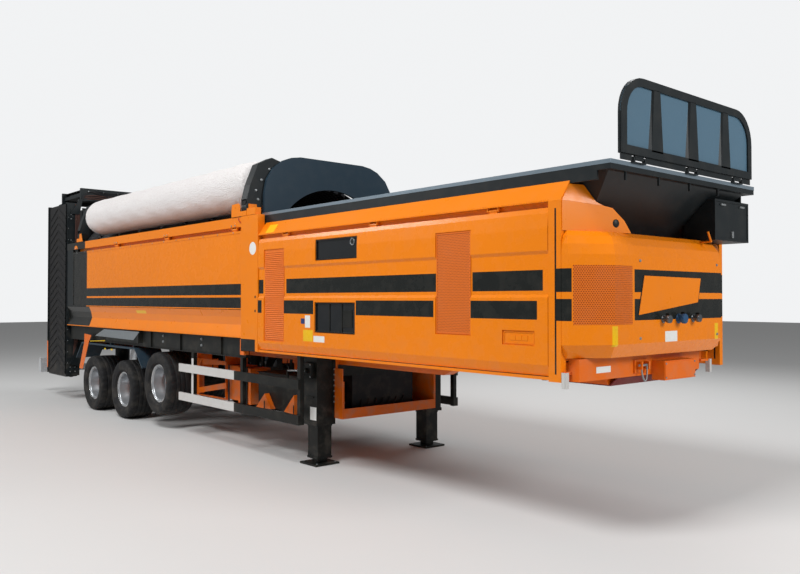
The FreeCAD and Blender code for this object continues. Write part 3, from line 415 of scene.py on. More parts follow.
frameMarks = [
    (2.700, 2.800, 2.060, 2.240, "yellow"), (1.330, 2.620, 6.362, 6.378, "black"),
    (1.200, 1.425, 1.500, 1.860, "black"),
    (1.968, 2.150, 6.378, 6.440, "stripe"), (1.745, 1.915, 6.378, 6.440, "stripe"),
]
frameSpots = [(1.800, 2.530, 0.078, "white"), (1.862, 1.940, 0.016, "black"), (1.862, 1.770, 0.016, "black")]
hoodSides = [
    # low, high, right end, left end, colour
    (1.745, 1.915, -1.300, -1.250, "stripe"), (1.968, 2.150, -1.300, -1.250, "stripe"),
    (1.745, 1.915, -0.700, 1.300, "stripe"), (1.968, 2.150, -0.700, 1.300, "stripe"),
    (1.545, 1.705, -0.985, -0.930, "yellow"), (1.560, 1.648, -0.250, -0.060, "white"),
    (1.555, 1.700, 0.580, 0.640, "yellow"),
]
hoodGrille = {"low": 1.715, "high": 2.175, "right": -1.242, "left": -0.728, "pitch": 0.0165, "hole": 0.30}


def marked(rows, spots=()):
    def tint(tree, colour):
        out = colour
        for low, high, start, end, label in rows:
            band = placeGroup(tree, "bandMask", Low=low, High=high, Start=start, End=end)
            out = mixColour(tree, band.outputs["Mask"], out, paint[label])
        for along, up, radius, label in spots:
            spot = placeGroup(tree, "discMask", Along=along, Up=up, Radius=radius)
            out = mixColour(tree, spot.outputs["Mask"], out, paint[label])
        return out
    return tint


def guardTint(tree, colour):
    # bare aluminium on the outer faces of the rear half of the rails
    out = colour
    for right, left in ((-1.270, -1.2355), (1.2355, 1.270)):
        band = placeGroup(tree, "bandMask", Low=0.4, High=1.1, Start=-0.30, End=1.327, Right=right, Left=left)
        out = mixColour(tree, band.outputs["Mask"], out, (0.66, 0.65, 0.63))
    return out


def bristleShadeTint(tree, colour):
    # painted shade: darker pinkish clumps of strands between the bright tips, the pink standing in for orange
    # light reflected from the paint
    place = objectPlace(tree)
    stretch = tree.nodes.new("ShaderNodeMapping")
    stretch.inputs["Scale"].default_value = (1.0, 2.6, 2.6)
    tree.links.new(place, stretch.inputs["Vector"])
    strands = noise(tree, stretch.outputs[0], 34.0, 4.0, 0.7)
    shadedStrands = mathNode(tree, "MULTIPLY", smoothMask(tree, strands, 0.52, 0.74), 0.45)
    return mixColour(tree, shadedStrands, colour, (0.44, 0.28, 0.25))


def perforated(tree, across, up, pitch, hole):
    return placeGroup(tree, "holeGrid", Across=across, Up=up, Pitch=pitch, Hole=hole).outputs["Mask"]


def hoodTint(tree, colour):
    out = colour
    for low, high, right, left, label in hoodSides:
        band = placeGroup(tree, "bandMask", Low=low, High=high, Right=right, Left=left)
        out = mixColour(tree, band.outputs["Mask"], out, paint[label])
    g = hoodGrille
    axes = objectAxes(tree)
    area = placeGroup(tree, "bandMask", Low=g["low"], High=g["high"], Right=g["right"], Left=g["left"])
    holes = perforated(tree, axes["Y"], axes["Z"], g["pitch"], g["hole"])
    sheet = mixColour(tree, holes, paint["grille"], (0.26, 0.045, 0.006))
    return mixColour(tree, area.outputs["Mask"], out, sheet)


def grilleTint(tree, colour):
    axes = objectAxes(tree)
    holes = perforated(tree, axes["X"], axes["Z"], hoodGrille["pitch"], hoodGrille["hole"])
    return mixColour(tree, holes, colour, (0.34, 0.06, 0.010))


def drumHoles(tree):
    axes = objectAxes(tree)
    lowered = mathNode(tree, "SUBTRACT", axes["Z"], 2.43)
    angle = mathNode(tree, "MULTIPLY", mathNode(tree, "ARCTAN2", axes["Y"], lowered), 0.96)
    return placeGroup(tree, "holeGrid", Across=axes["X"], Up=angle, Pitch=0.075, Hole=0.40).outputs["Mask"]


orangePaint = surface("orangePaint", paint["orange"], 0.24, coat=0.12, bump=0.03)
orangeDoor = surface("orangeDoor", paint["orange"], 0.22, coat=0.15, bump=0.03, tint=marked(doorMarks))
# orangeWall, orangeRail and orangeBand carry the painted shade at the rear ends
orangeWall = surface("orangeWall", paint["orange"], 0.22, coat=0.15, bump=0.03, tint=marked(wallStripesAndShade))
orangeRail = surface("orangeRail", paint["orange"], 0.24, coat=0.12, bump=0.03, tint=marked(railShade))
orangeBand = surface("orangeBand", paint["orange"], 0.24, coat=0.12, bump=0.03, tint=marked(bandLabelAndShade))
guardPaint = surface("guardPaint", paint["black"], 0.36, metallic=0.2, dust=0.1, tint=guardTint)
treadPlate = surface("treadPlate", (0.30, 0.33, 0.35), 0.36, metallic=0.6, dust=0.2)
redPart = surface("redPart", (0.42, 0.012, 0.008), 0.35, coat=0.3, dust=0.1)
orangeHousing = surface("orangeHousing", paint["orange"], 0.24, coat=0.12, bump=0.03,
                        tint=marked(frameMarks, frameSpots))
orangeHood = surface("orangeHood", paint["orange"], 0.22, coat=0.15, bump=0.03, tint=hoodTint)
orangeGrille = surface("orangeGrille", paint["grille"], 0.4, dust=0.2, tint=grilleTint)
orangeLouvre = surface("orangeLouvre", paint["grille"], 0.4, dust=0.2)
orangeFrame = surface("orangeFrame", paint["deepOrange"], 0.34, coat=0.15, dust=0.5, bump=0.04)
anthracite = surface("anthracitePaint", paint["anthracite"], 0.36, dust=0.2, bump=0.05)
slatePaint = surface("slatePaint", paint["slate"], 0.34, dust=0.15, bump=0.04)
flapPaint = surface("flapPaint", (0.085, 0.160, 0.225), 0.3, dust=0.08, coat=0.1)
# painted reflection: blue-grey metal for the hopper's outer lip, standing in for the sky reflected along the
# rim
rimSkyReflection = surface("rimSkyReflection", (0.22, 0.28, 0.33), 0.25, metallic=0.5, dust=0.05)
blackPaint = surface("blackPaint", paint["black"], 0.38, dust=0.18, bump=0.05)
darkRed = surface("redPrimer", paint["darkRed"], 0.5, dust=0.4)
silverPaint = surface("silverPaint", paint["silver"], 0.3, dust=0.3, metallic=0.35)
rimSilver = surface("rimSilver", (0.42, 0.44, 0.46), 0.3, dust=0.1, metallic=0.75)
brightSteel = surface("brightSteel", (0.66, 0.67, 0.68), 0.22, metallic=1.0, dust=0.1)
galvanised = surface("galvanisedSteel", paint["galvanised"], 0.42, metallic=0.8, dust=0.3, drift=0.2)
darkSteel = surface("darkSteel", (0.14, 0.15, 0.16), 0.32, metallic=0.8, dust=0.1)
beltRubber = surface("beltRubber", paint["rubber"], 0.55, dust=0.15, grain=400.0, bump=0.15)
tyreRubber = surface("tyreRubber", paint["rubber"], 0.60, dust=0.16, grain=600.0, bump=0.2)
darkGlass = surface("darkGlass", paint["glass"], 0.08, dust=0.05, bump=0.0, coat=0.6)
# the bristles carry painted shade and a painted pink reflection in their darker strands
bristles = surface("brushBristles", paint["bristle"], 0.85, drift=0.05, dust=0.05, grain=70.0, bump=1.0,
                   depth=0.03, tint=bristleShadeTint)
drumSteel = surface("drumSteel", (0.20, 0.20, 0.21), 0.5, metallic=0.5, dust=0.4, drift=0.2,
                    tint=lambda tree, colour: mixColour(tree, drumHoles(tree), colour, (0.006, 0.006, 0.006)),
                    relief=lambda tree: mathNode(tree, "SUBTRACT", 1.0, drumHoles(tree)))
castIron = surface("castIron", (0.022, 0.022, 0.024), 0.6, metallic=0.3, dust=0.2, grain=200.0, bump=0.2)
hoseRubber = surface("hoseRubber", (0.016, 0.016, 0.018), 0.5, dust=0.2)
hoseBrown = surface("hoseBrown", (0.085, 0.040, 0.032), 0.45, dust=0.1)
labelWhite = surface("labelWhite", (0.80, 0.80, 0.78), 0.4, dust=0.05)
labelYellow = surface("labelYellow", (0.85, 0.56, 0.02), 0.4, dust=0.05)
socketBlue = surface("socketBlue", (0.025, 0.075, 0.16), 0.4, dust=0.05)
lampClear = surface("lampClear", (0.58, 0.57, 0.55), 0.12, coat=0.6, dust=0.05)
print("finishes made:", len(bpy.data.materials))

nodeFinish = {
    "chassis_frame": orangeFrame, "kingpin_plate": darkRed, "chassis_skirts": blackPaint,
    "fenders": slatePaint, "axles": blackPaint, "suspension": blackPaint, "landing_legs": blackPaint,
    "leg_tray": orangeFrame, "hydraulic_unit": castIron, "side_guards": guardPaint, "drum_frame": orangeRail,
    "rear_portal": anthracite, "drum_lower_bands": orangeBand, "drum": drumSteel, "drum_rollers": castIron,
    "drum_inlet_plate": slatePaint, "hopper_shell": anthracite, "hopper_belt": beltRubber,
    "hopper_flap": slatePaint, "housing_frame": orangeHousing, "housing_door_left": orangeDoor,
    "housing_door_right": orangeDoor, "drum_wall_left": orangeWall, "drum_wall_right": orangeWall,
    "front_hood": orangeHood, "corner_fascia": orangePaint, "corner_box": anthracite,
    "front_beam": orangeFrame, "air_couplings": galvanised, "engine_block": castIron,
    "collecting_belt": beltRubber, "rear_bumper": silverPaint, "conveyor_brackets": orangeFrame,
    "side_conveyor_lower": anthracite, "side_conveyor_upper": anthracite, "rear_conveyor_lower": anthracite,
    "rear_conveyor_upper": anthracite, "brush_roll": bristles, "brush_arms": anthracite,
}
for name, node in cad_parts.items():
    finish = nodeFinish.get(name) or (tyreRubber if name.startswith("tyre") else silverPaint)
    node.data.materials.clear()
    node.data.materials.append(finish)

# Wheels

wheel = {
    "width": 0.424, "ringSides": 112, "bore": 0.2553,
    "axles": [("rear", -3.62, 0.465), ("middle", -2.30, 0.465), ("front", -0.98, 0.665)],
    "sideY": 1.056, "nuts": 10,
}


def tyreForm(x, y, z):
    form = Form()
    half = wheel["width"] / 2
    bead = wheel["bore"]
    side = [(bead, 0.150), (0.272, 0.157), (0.284, 0.166), (0.292, 0.181), (0.312, 0.196), (0.318, 0.2015),
            (0.324, 0.200), (0.352, 0.2085), (0.380, half - 0.0005), (0.402, half - 0.001), (0.424, 0.2085),
            (0.430, 0.2040), (0.436, 0.2050), (0.448, 0.1990), (0.4575, 0.1860), (0.4625, 0.1680)]
    crown = [(0.4640, 0.1500)]
    for centre in (0.105, 0.035):
        crown += [(0.4648, centre + 0.014), (0.4640, centre + 0.0075), (0.4500, centre + 0.006),
                  (0.4500, centre - 0.006), (0.4640, centre - 0.0075)]
        crown.append((0.4650, centre - 0.014))
    right = side + crown
    profile = right + [(radius, -offset) for radius, offset in reversed(right)]
    sides = wheel["ringSides"]
    form.lathe(profile, (x, y, z), (0, 1, 0), sides, closed=True)
    # shoulder blocks: every fourth sector of the shoulder is cut back
    count = len(profile)
    centre = Vector((x, y, z))
    for row in range(count):
        radius, offset = profile[row]
        if radius > 0.4470 and abs(offset) > 0.11:
            for i in range(sides):
                if i % 4 == 0:
                    index = row * sides + i
                    point = Vector(form.verts[index])
                    spoke = Vector((point.x - centre.x, 0, point.z - centre.z)).normalized()
                    form.verts[index] = tuple(point - spoke * 0.011)
    return form


def rimForm(x, y, z, out):
    form = Form()

    def turned(profile, sides, tint=0, closed=False):
        form.lathe([(r, out * o) for r, o in profile], (x, y, z), (0, 1, 0), sides, tint, closed)

    shape = [(0.2540, -0.166), (0.281, -0.166), (0.2822, -0.162), (0.281, -0.157), (0.262, -0.155),
             (0.2545, -0.147), (0.2535, -0.100), (0.240, -0.085), (0.240, 0.020), (0.2535, 0.040),
             (0.2535, 0.147), (0.262, 0.155), (0.281, 0.157), (0.2822, 0.162), (0.281, 0.167),
             (0.270, 0.1675), (0.262, 0.163), (0.244, 0.158), (0.240, 0.140), (0.239, 0.050), (0.230, 0.030),
             (0.229, -0.070), (0.236, -0.095), (0.240, -0.150)]
    turned(shape, 72, closed=True)
    lip = [(0.2825, 0.1585), (0.2845, 0.1640), (0.2800, 0.1690), (0.2680, 0.1700), (0.2600, 0.1650),
           (0.2640, 0.1600)]
    turned(lip, 72, tint=4, closed=True)
    # bowl-shaped disc with a raised bolting ring
    disc = [(0.231, -0.020), (0.222, -0.034), (0.205, -0.046), (0.185, -0.056), (0.168, -0.060),
            (0.150, -0.054), (0.140, -0.050), (0.104, -0.050), (0.104, -0.062), (0.140, -0.064),
            (0.168, -0.072), (0.205, -0.060), (0.229, -0.040)]
    turned(disc, 72, closed=True)
    for index in range(8):
        turn = 2 * math.pi * (index + 0.5) / 8
        at = (x + 0.190 * math.cos(turn), y + out * -0.0535, z + 0.190 * math.sin(turn))
        form.lathe([(0.0001, 0.0), (0.020, 0.0), (0.024, 0.004), (0.0285, 0.0)], at, (0, out, 0), 20, tint=2)
    for index in range(wheel["nuts"]):
        turn = 2 * math.pi * index / wheel["nuts"]
        at = (x + 0.122 * math.cos(turn), y - out * 0.050, z + 0.122 * math.sin(turn))
        form.bolt(at, (0, out, 0), 0.015, tint=3)
        form.rod(at, Vector(at) + Vector((0, out * 0.026, 0)), 0.008, 10, tint=3)
    hub = [(0.103, -0.060), (0.103, -0.040), (0.086, -0.034), (0.082, 0.010), (0.076, 0.022), (0.060, 0.028),
           (0.056, 0.036), (0.030, 0.0395), (0.0001, 0.0395)]
    turned(hub, 48, tint=1)
    for index in range(6):
        turn = 2 * math.pi * index / 6
        form.bolt((x + 0.068 * math.cos(turn), y + out * 0.024, z + 0.068 * math.sin(turn)), (0, out, 0),
                  0.006, tint=3)
    drum = [(0.0001, -0.110), (0.104, -0.110), (0.150, -0.112), (0.170, -0.120), (0.195, -0.120),
            (0.195, -0.145), (0.150, -0.150), (0.0001, -0.150)]
    turned(drum, 40, tint=2)
    return form


rimFinishes = [rimSilver, orangeFrame, blackPaint, galvanised, brightSteel]
for axle, axleX, axleZ in wheel["axles"]:
    for side, out in machineSides:
        place = axle + "_" + side
        y = out * wheel["sideY"]
        tyreForm(axleX, y, axleZ).finish("tyreTread_" + place, [tyreRubber], "wheel_" + place, "tyre",
                                         replaces=["tyre_" + place])
        rimForm(axleX, y, axleZ, out).finish("wheelRim_" + place, rimFinishes, "wheel_" + place,
                                             "silver_paint", replaces=["rim_" + place])
print("wheels done")

# Brush roll

brush = {"radius": 0.318, "axisY": -0.9, "axisZ": 3.386, "start": -4.27, "end": 1.45, "rings": 150,
         "sides": 96, "round": 0.16, "taper": 0.17, "shaft": 0.0285, "flange": 0.13}


def brushForm():
    form = Form()
    rings, sides = brush["rings"], brush["sides"]
    verts = []
    for ring in range(rings + 1):
        share = ring / rings
        x = brush["start"] + (brush["end"] - brush["start"]) * share
        edge = min(x - brush["start"], brush["end"] - x)
        fullness = math.sqrt(max(0.0, 1 - (1 - min(edge / brush["round"], 1.0)) ** 2))
        radius = brush["radius"] - brush["taper"] * (1 - fullness)
        for i in range(sides):
            turn = 2 * math.pi * i / sides
            swell = 0.003 * math.sin(9 * x + 2 * math.sin(3 * turn)) + random.uniform(-0.006, 0.0)
            r = min(radius + swell - 0.004, brush["radius"])
            verts.append((x, brush["axisY"] + r * math.sin(turn), brush["axisZ"] + r * math.cos(turn)))
    faces = []
    for ring in range(rings):
        for i in range(sides):
            j = (i + 1) % sides
            faces.append((ring * sides + i, ring * sides + j, (ring + 1) * sides + j, (ring + 1) * sides + i))
    faces.append(tuple(reversed(range(sides))))
    faces.append(tuple(range(rings * sides, (rings + 1) * sides)))
    form.add(verts, faces, 0, True)
    stubs = [(brush["start"] - 0.12, brush["start"] + 0.01), (brush["end"] - 0.01, brush["end"] + 0.165)]
    for x0, x1 in stubs:
        inner = x0 if x0 > 0 else x1 - 0.03
        y, z = brush["axisY"], brush["axisZ"]
        form.rod((x0, y, z), (x1, y, z), brush["shaft"], 24, tint=1)
        form.rod((inner, y, z), (inner + 0.02, y, z), brush["flange"], 32, tint=1)
    return form


brushForm().finish("bristleRoll", [bristles, galvanised], "brush", "brush_fibre", replaces=["brush_roll"])
print("brush done")

# Side conveyor

sideBelt = {
    "rear": -6.100, "front": -5.000, "inner": 1.012, "outer": 1.262, "low": 0.460, "top": 3.710,
    "cheek": 0.060, "cleatPitch": 0.145, "cleatHigh": 0.013, "cleatWide": 0.026, "drop": 0.22,
}


def cleat(form, x0, z0, x1, z1, wide, plane, rise, tint=0):
    # one bar of a chevron on a belt facing along Y, wider at its foot than at its top
    start, end = Vector((x0, plane, z0)), Vector((x1, plane, z1))
    along = (end - start).normalized()
    across = Vector((-along.z, 0, along.x)) * wide / 2
    lift = Vector((0, rise, 0))
    foot = [start - across, end - across, end + across, start + across]
    narrow = across * 0.6
    top = [start - narrow + lift, end - narrow + lift, end + narrow + lift, start + narrow + lift]
    form.block(foot, top, tint)


def sideConveyorForm():
    s = sideBelt
    form = Form()
    x0, x1 = s["rear"] + s["cheek"], s["front"] - s["cheek"]
    middle = (x0 + x1) / 2
    face = -s["outer"] + 0.0185
    form.box(x0 + 0.004, x1 - 0.004, face, face + 0.003, s["low"] + 0.02, s["top"] - 0.01)
    form.box(x0 + 0.004, x1 - 0.004, -s["inner"] - 0.0215, -s["inner"] - 0.0185, s["low"] + 0.02,
             s["top"] - 0.01)
    z = s["low"] + 0.30
    while z < s["top"] - 0.03:
        for end in (x0 + 0.05, x1 - 0.05):
            cleat(form, middle, z, end, z - s["drop"], s["cleatWide"], face, -s["cleatHigh"])
        z += s["cleatPitch"]
    # tail drum at the foot
    long = x1 - x0 - 0.01
    tail = [(0.0001, 0), (0.085, 0), (0.088, 0.01), (0.088, long - 0.01), (0.085, long), (0.0001, long)]
    form.lathe(tail, (x0 + 0.005, -1.137, s["low"] + 0.075), (1, 0, 0), 32)
    return form


def sideFrameForm():
    s = sideBelt
    form = Form()
    for x, out in ((s["front"], 1), (s["rear"], -1)):
        # folded lips, bearing plates and bolts on the side plates
        for y in (-s["outer"] + 0.012, -s["inner"] - 0.024):
            form.box(x, x + out * 0.010, y, y + 0.012, 1.32, s["top"] - 0.02)
        for z in (0.60, 1.62, 2.30, 2.98, 3.46):
            form.box(x, x + out * 0.008, -1.205, -1.075, z - 0.06, z + 0.06)
            for dy, dz in ((-0.045, -0.04), (0.045, -0.04), (-0.045, 0.04), (0.045, 0.04)):
                form.bolt((x + out * 0.008, -1.14 + dy, z + dz), (out, 0, 0), 0.009, tint=1)
            form.lathe([(0.0001, 0), (0.034, 0), (0.034, 0.006), (0.022, 0.010), (0.0001, 0.010)],
                       (x + out * 0.008, -1.14, z), (out, 0, 0), 24)
        z = 0.72
        while z < 3.6:
            form.bolt((x, -1.232, z), (out, 0, 0), 0.007, tint=1)
            z += 0.21
    # skirt plates beside the belt's edges on the carrying side
    for x in (s["rear"] + 0.004, s["front"] - s["cheek"] + 0.004):
        form.box(x, x + 0.052, -s["outer"], -s["outer"] + 0.006, s["low"] + 0.05, s["top"])
    # orange foot at the rear edge
    form.box(s["rear"] - 0.006, s["rear"] + 0.05, -s["outer"] - 0.002, -s["outer"] + 0.10, 0.58, 1.10, tint=2)
    return form


sideConveyorForm().finish("sideBeltCover", [beltRubber], "side_conveyor", "belt_rubber")
sideFrameForm().finish("sideConveyorTrim", [anthracite, galvanised, orangeFrame], "side_conveyor",
                       "dark_paint", bevel=0.0015)
hoses("sideConveyorHoses", [
    [(-4.982, -1.04 - 0.022 * i, 3.70), (-4.982, -1.03 - 0.024 * i, 3.2), (-4.983, -1.05 - 0.022 * i, 2.5),
     (-4.983, -1.04 - 0.020 * i, 1.8), (-4.985, -1.03 - 0.020 * i, 1.45), (-4.987, -1.06 - 0.018 * i, 1.10),
     (-4.987, -1.10 - 0.012 * i, 0.82)] for i in range(4)], 0.009, hoseBrown, "side_conveyor")

# folded upper section: frame rails, idlers and hoses
sideTip = {"rear": -6.100, "front": -5.000, "low": 3.770, "high": 4.018, "tip": 0.138, "fold": -1.006,
           "idlers": (-0.86, -0.58, -0.30, -0.02), "idlerZ": 3.963}


def sideTipForm():
    s = sideTip
    form = Form()
    for x in (s["rear"] + 0.062, s["front"] - 0.068):
        form.box(x, x + 0.006, s["fold"] + 0.04, s["tip"] - 0.07, s["low"] + 0.012, s["high"] - 0.010)
    for y in s["idlers"]:
        form.rod((s["rear"] + 0.06, y, s["idlerZ"]), (s["front"] - 0.06, y, s["idlerZ"]), 0.028, 20, tint=1)
    for z0, z1 in ((s["high"] - 0.024, s["high"] - 0.014), (s["low"] + 0.095, s["low"] + 0.099)):
        form.box(s["rear"] + 0.07, s["front"] - 0.07, s["fold"] + 0.05, s["tip"] - 0.06, z0, z1, tint=2)
    for x, out in ((s["front"], 1), (s["rear"], -1)):
        for y in s["idlers"]:
            form.bolt((x, y, s["idlerZ"]), (out, 0, 0), 0.012, tint=1)
        form.box(x, x + out * 0.008, -0.12, 0.02, s["low"] + 0.11, s["low"] + 0.23)
        form.lathe([(0.0001, 0), (0.045, 0), (0.045, 0.02), (0.03, 0.026), (0.0001, 0.026)],
                   (x + out * 0.008, -0.05, s["low"] + 0.17), (out, 0, 0), 24, tint=1)
    return form


sideTipForm().finish("sideTipTrim", [anthracite, galvanised, beltRubber], "side_conveyor_tip", "dark_paint",
                     bevel=0.0015)
hoses("sideTipHoses", [
    [(-5.02 + 0.012 * i, -0.96, 3.80 + 0.03 * i), (-4.985, -0.80, 3.84 + 0.03 * i),
     (-4.985, -0.55, 3.80 + 0.04 * i), (-4.988, -0.30, 3.86 + 0.02 * i), (-4.99, -0.10, 3.90 + 0.02 * i)]
     for i in range(3)],
    0.009, hoseBrown, "side_conveyor_tip")
hoses("sideTipLoops", [
    [(-4.988, -0.98, 3.800 + 0.020 * i), (-4.984, -0.93 + 0.02 * i, 3.930 + 0.018 * i),
     (-4.982, -0.72, 3.985 - 0.020 * i), (-4.984, -0.45 + 0.04 * i, 3.940 - 0.030 * i),
     (-4.985, -0.18, 3.985 - 0.022 * i), (-4.988, 0.04, 3.960 - 0.020 * i)]
    for i in range(4)], 0.008, hoseRubber, "side_conveyor_tip")
print("side conveyor done")

# Rear conveyor

rearBelt = {
    # front face, back face, lower end and the place of the cleats
    "lower": (-6.180, -6.395, 0.870, -6.180), "upper": (-6.415, -6.630, 2.010, -6.643),
    "half": 0.500, "top": 3.760,
}


def rearConveyorForm(front, back, low, cleats):
    form = Form()
    half, top = rearBelt["half"], rearBelt["top"]
    width = half - 0.07
    for plane, out in ((front, 1), (back, -1)):
        form.box(plane, plane + out * 0.003, -width, width, low + 0.04, top - 0.03)
    z = low + 0.12
    while z < top - 0.08:
        form.box(cleats, cleats + 0.012, -width + 0.03, width - 0.03, z, z + 0.012)
        z += 0.30
    for side in (-1, 1):
        y = side * half
        z = low + 0.25
        while z < top - 0.1:
            form.box((front + back) / 2 - 0.05, (front + back) / 2 + 0.05, y, y + side * 0.006,
                     z - 0.04, z + 0.04, tint=1)
            form.bolt(((front + back) / 2, y + side * 0.006, z), (0, side, 0), 0.012, tint=2)
            z += 0.42
        for x in (front - 0.02, back + 0.008):
            form.box(x, x + 0.012, y, y + side * 0.006, low + 0.03, top - 0.03, tint=1)
    return form


rearFinishes = [beltRubber, anthracite, galvanised]
rearConveyorForm(*rearBelt["lower"]).finish("rearBeltLower", rearFinishes, "rear_conveyor", "belt_rubber",
                                            bevel=0.001)
rearConveyorForm(*rearBelt["upper"]).finish("rearBeltUpper", rearFinishes, "rear_conveyor_tip", "belt_rubber",
                                            bevel=0.001)
print("rear conveyor done")

# Hopper flap

flap = {"back": 6.785, "thick": 0.040, "half": 1.050, "low": 3.020, "top": 3.625, "corner": 0.290,
        "ribs": [-0.56, 0.0, 0.56], "border": 0.065}


def roundedOutline(half, low, top, corner, inset, steps=8):
    # closed outline of (y, z), round at its two top corners
    corner = max(corner - inset, 0.01)
    half, top, low = half - inset, top - inset, low + inset
    points = [(-half, low)]
    for i in range(steps + 1):
        turn = math.pi - i * math.pi / 2 / steps
        points.append((-half + corner + corner * math.cos(turn), top - corner + corner * math.sin(turn)))
    for i in range(steps + 1):
        turn = math.pi / 2 - i * math.pi / 2 / steps
        points.append((half - corner + corner * math.cos(turn), top - corner + corner * math.sin(turn)))
    points.append((half, low))
    return points


def flapForm():
    f = flap
    form = Form()
    x0, x1 = f["back"], f["back"] + f["thick"]
    # thin panel with a folded border on both faces
    outer = roundedOutline(f["half"], f["low"], f["top"], f["corner"], 0.0)
    inner = roundedOutline(f["half"], f["low"], f["top"], f["corner"], f["border"])
    middle = (x0 + x1) / 2
    form.prism([(middle - 0.004, y, z) for y, z in outer], (0.008, 0, 0))
    count = len(outer)
    for x, out in ((x0, 1), (x1, -1)):
        verts = [(x, y, z) for y, z in outer] + [(x, y, z) for y, z in inner]
        verts += [(middle, y, z) for y, z in outer] + [(x + out * 0.012, y, z) for y, z in inner]
        faces = []
        for i in range(count):
            j = (i + 1) % count
            faces.append((i, j, count + j, count + i))
            faces.append((i, j, 2 * count + j, 2 * count + i))
            faces.append((count + i, count + j, 3 * count + j, 3 * count + i))
        form.add(verts, faces, tint=1)
    for y in f["ribs"]:
        for x, out in ((x0, 1), (x1, -1)):
            wide, thin = 0.120, 0.062
            foot = [(middle, y - wide, f["low"] + 0.05), (middle, y + wide, f["low"] + 0.05),
                    (middle, y + thin, f["top"] - 0.05), (middle, y - thin, f["top"] - 0.05)]
            face = [(x, y - wide * 0.7, f["low"] + 0.05), (x, y + wide * 0.7, f["low"] + 0.05),
                    (x, y + thin * 0.7, f["top"] - 0.06), (x, y - thin * 0.7, f["top"] - 0.06)]
            form.block(foot, face, tint=1)
    # apron between the hinges
    for y0, y1 in ((-1.05, -0.90), (-0.70, -0.10), (0.10, 0.70), (0.90, 1.05)):
        form.box(middle - 0.004, middle + 0.004, y0, y1, 2.971, 3.022, tint=1)
    for y in (-0.8, 0.0, 0.8):
        form.rod((6.805, y - 0.06, 2.995), (6.805, y + 0.06, 2.995), 0.0138, 20, tint=1)
        form.box(6.797, 6.813, y - 0.06, y + 0.06, 3.000, 3.030, tint=1)
        for side in (-0.04, 0.04):
            form.bolt((x1 - 0.0075, y + side, 3.048), (1, 0, 0), 0.007, tint=2)
    return form


flapForm().finish("flapPanel", [flapPaint, anthracite, galvanised], "flap", "blue_grey_paint", bevel=0.002,
                  replaces=["hopper_flap"])
print("flap done")

# Housing doors, both sides alike: out is -1 on the right and 1 on the left
door = {
    "face": 1.2625, "pane": 1.2495,
    "louvres": (2.066, 2.494, 1.430, 2.490, 0.0225), "grille": (5.026, 5.454, 1.608, 2.502),
    "upper": (3.126, 3.854, 2.336, 2.554), "lower": (3.116, 3.824, 1.556, 1.874),
    "recess": (5.830, 6.150, 1.550, 1.650), "lock": (3.765, 2.505),
}


def slab(form, out, x0, x1, near, far, z0, z1, tint=0):
    # box on one side of the machine, its y given without its sign
    return form.box(x0, x1, out * near, out * far, z0, z1, tint)


def rim(form, out, x0, x1, near, far, z0, z1, wide, tint=0):
    # four thin bars round a rectangle
    slab(form, out, x0, x1, near, far, z0, z0 + wide, tint)
    slab(form, out, x0, x1, near, far, z1 - wide, z1, tint)
    slab(form, out, x0, x0 + wide, near, far, z0 + wide, z1 - wide, tint)
    slab(form, out, x1 - wide, x1, near, far, z0 + wide, z1 - wide, tint)


def doorForm(out):
    d = door
    form = Form()
    x0, x1, z0, z1, pitch = d["louvres"]
    slab(form, out, x0, x1, d["face"], d["face"] + 0.002, z0, z1, tint=1)
    z = z0 + 0.012
    while z < z1 - 0.02:
        outer = d["face"] + 0.0075
        blade = [(x0 + 0.012, out * (d["face"] + 0.002), z), (x0 + 0.012, out * outer, z + 0.003),
                 (x0 + 0.012, out * outer, z + 0.006), (x0 + 0.012, out * (d["face"] + 0.002), z + 0.014)]
        form.prism(blade, (x1 - x0 - 0.024, 0, 0), tint=1)
        z += pitch
    x0, x1, z0, z1 = d["grille"]
    slab(form, out, x0, x1, d["face"], d["face"] + 0.003, z0, z1)
    rim(form, out, x0, x1, d["face"] + 0.003, d["face"] + 0.006, z0, z1, 0.010, tint=1)
    for x0, x1, z0, z1 in (d["upper"], d["lower"]):
        slab(form, out, x0, x1, d["pane"], d["pane"] + 0.003, z0, z1, tint=2)
        rim(form, out, x0, x1, d["pane"] + 0.003, d["pane"] + 0.016, z0, z1, 0.012, tint=3)
    for x in (3.36, 3.58):
        slab(form, out, x, x + 0.014, d["pane"] + 0.003, d["pane"] + 0.010, d["lower"][2], d["lower"][3],
             tint=3)
    slab(form, out, 3.60, 3.76, d["pane"] + 0.003, d["pane"] + 0.008, 1.62, 1.80, tint=3)
    x, z = d["lock"]
    ring = [(0.030, 0.0), (0.036, 0.0), (0.038, 0.006), (0.036, 0.010), (0.030, 0.010), (0.028, 0.006)]
    form.lathe(ring, (x, out * (d["pane"] + 0.003), z), (0, out, 0), 32, tint=4, closed=True)
    form.rod((x, out * (d["pane"] + 0.003), z), (x, out * (d["pane"] + 0.010), z), 0.020, 24, tint=3)
    x0, x1, z0, z1 = d["recess"]
    rim(form, out, x0, x1, d["face"] - 0.0004, d["face"] + 0.004, z0, z1, 0.008, tint=5)
    for share in (0.3, 0.5, 0.7):
        x = x0 + (x1 - x0) * share
        slab(form, out, x - 0.03, x + 0.03, d["face"] - 0.0004, d["face"] + 0.003, z0 + 0.03, z1 - 0.03,
             tint=5)
    # rubber strip along the lower edge
    slab(form, out, 1.935, 6.285, 1.2405, 1.2480, 1.302, 1.3095, tint=3)
    return form


doorFinishes = [orangeGrille, orangeLouvre, darkGlass, blackPaint, galvanised, orangePaint]
for side, out in machineSides:
    doorForm(out).finish("doorTrim_" + side, doorFinishes, "door_" + side, "orange_paint", bevel=0.0008)
print("doors done")

# Drum walls: stiffened edges and edge bolts
wall = {"start": -4.640, "end": 1.510, "low": 1.786, "high": 2.765, "face": 1.258}


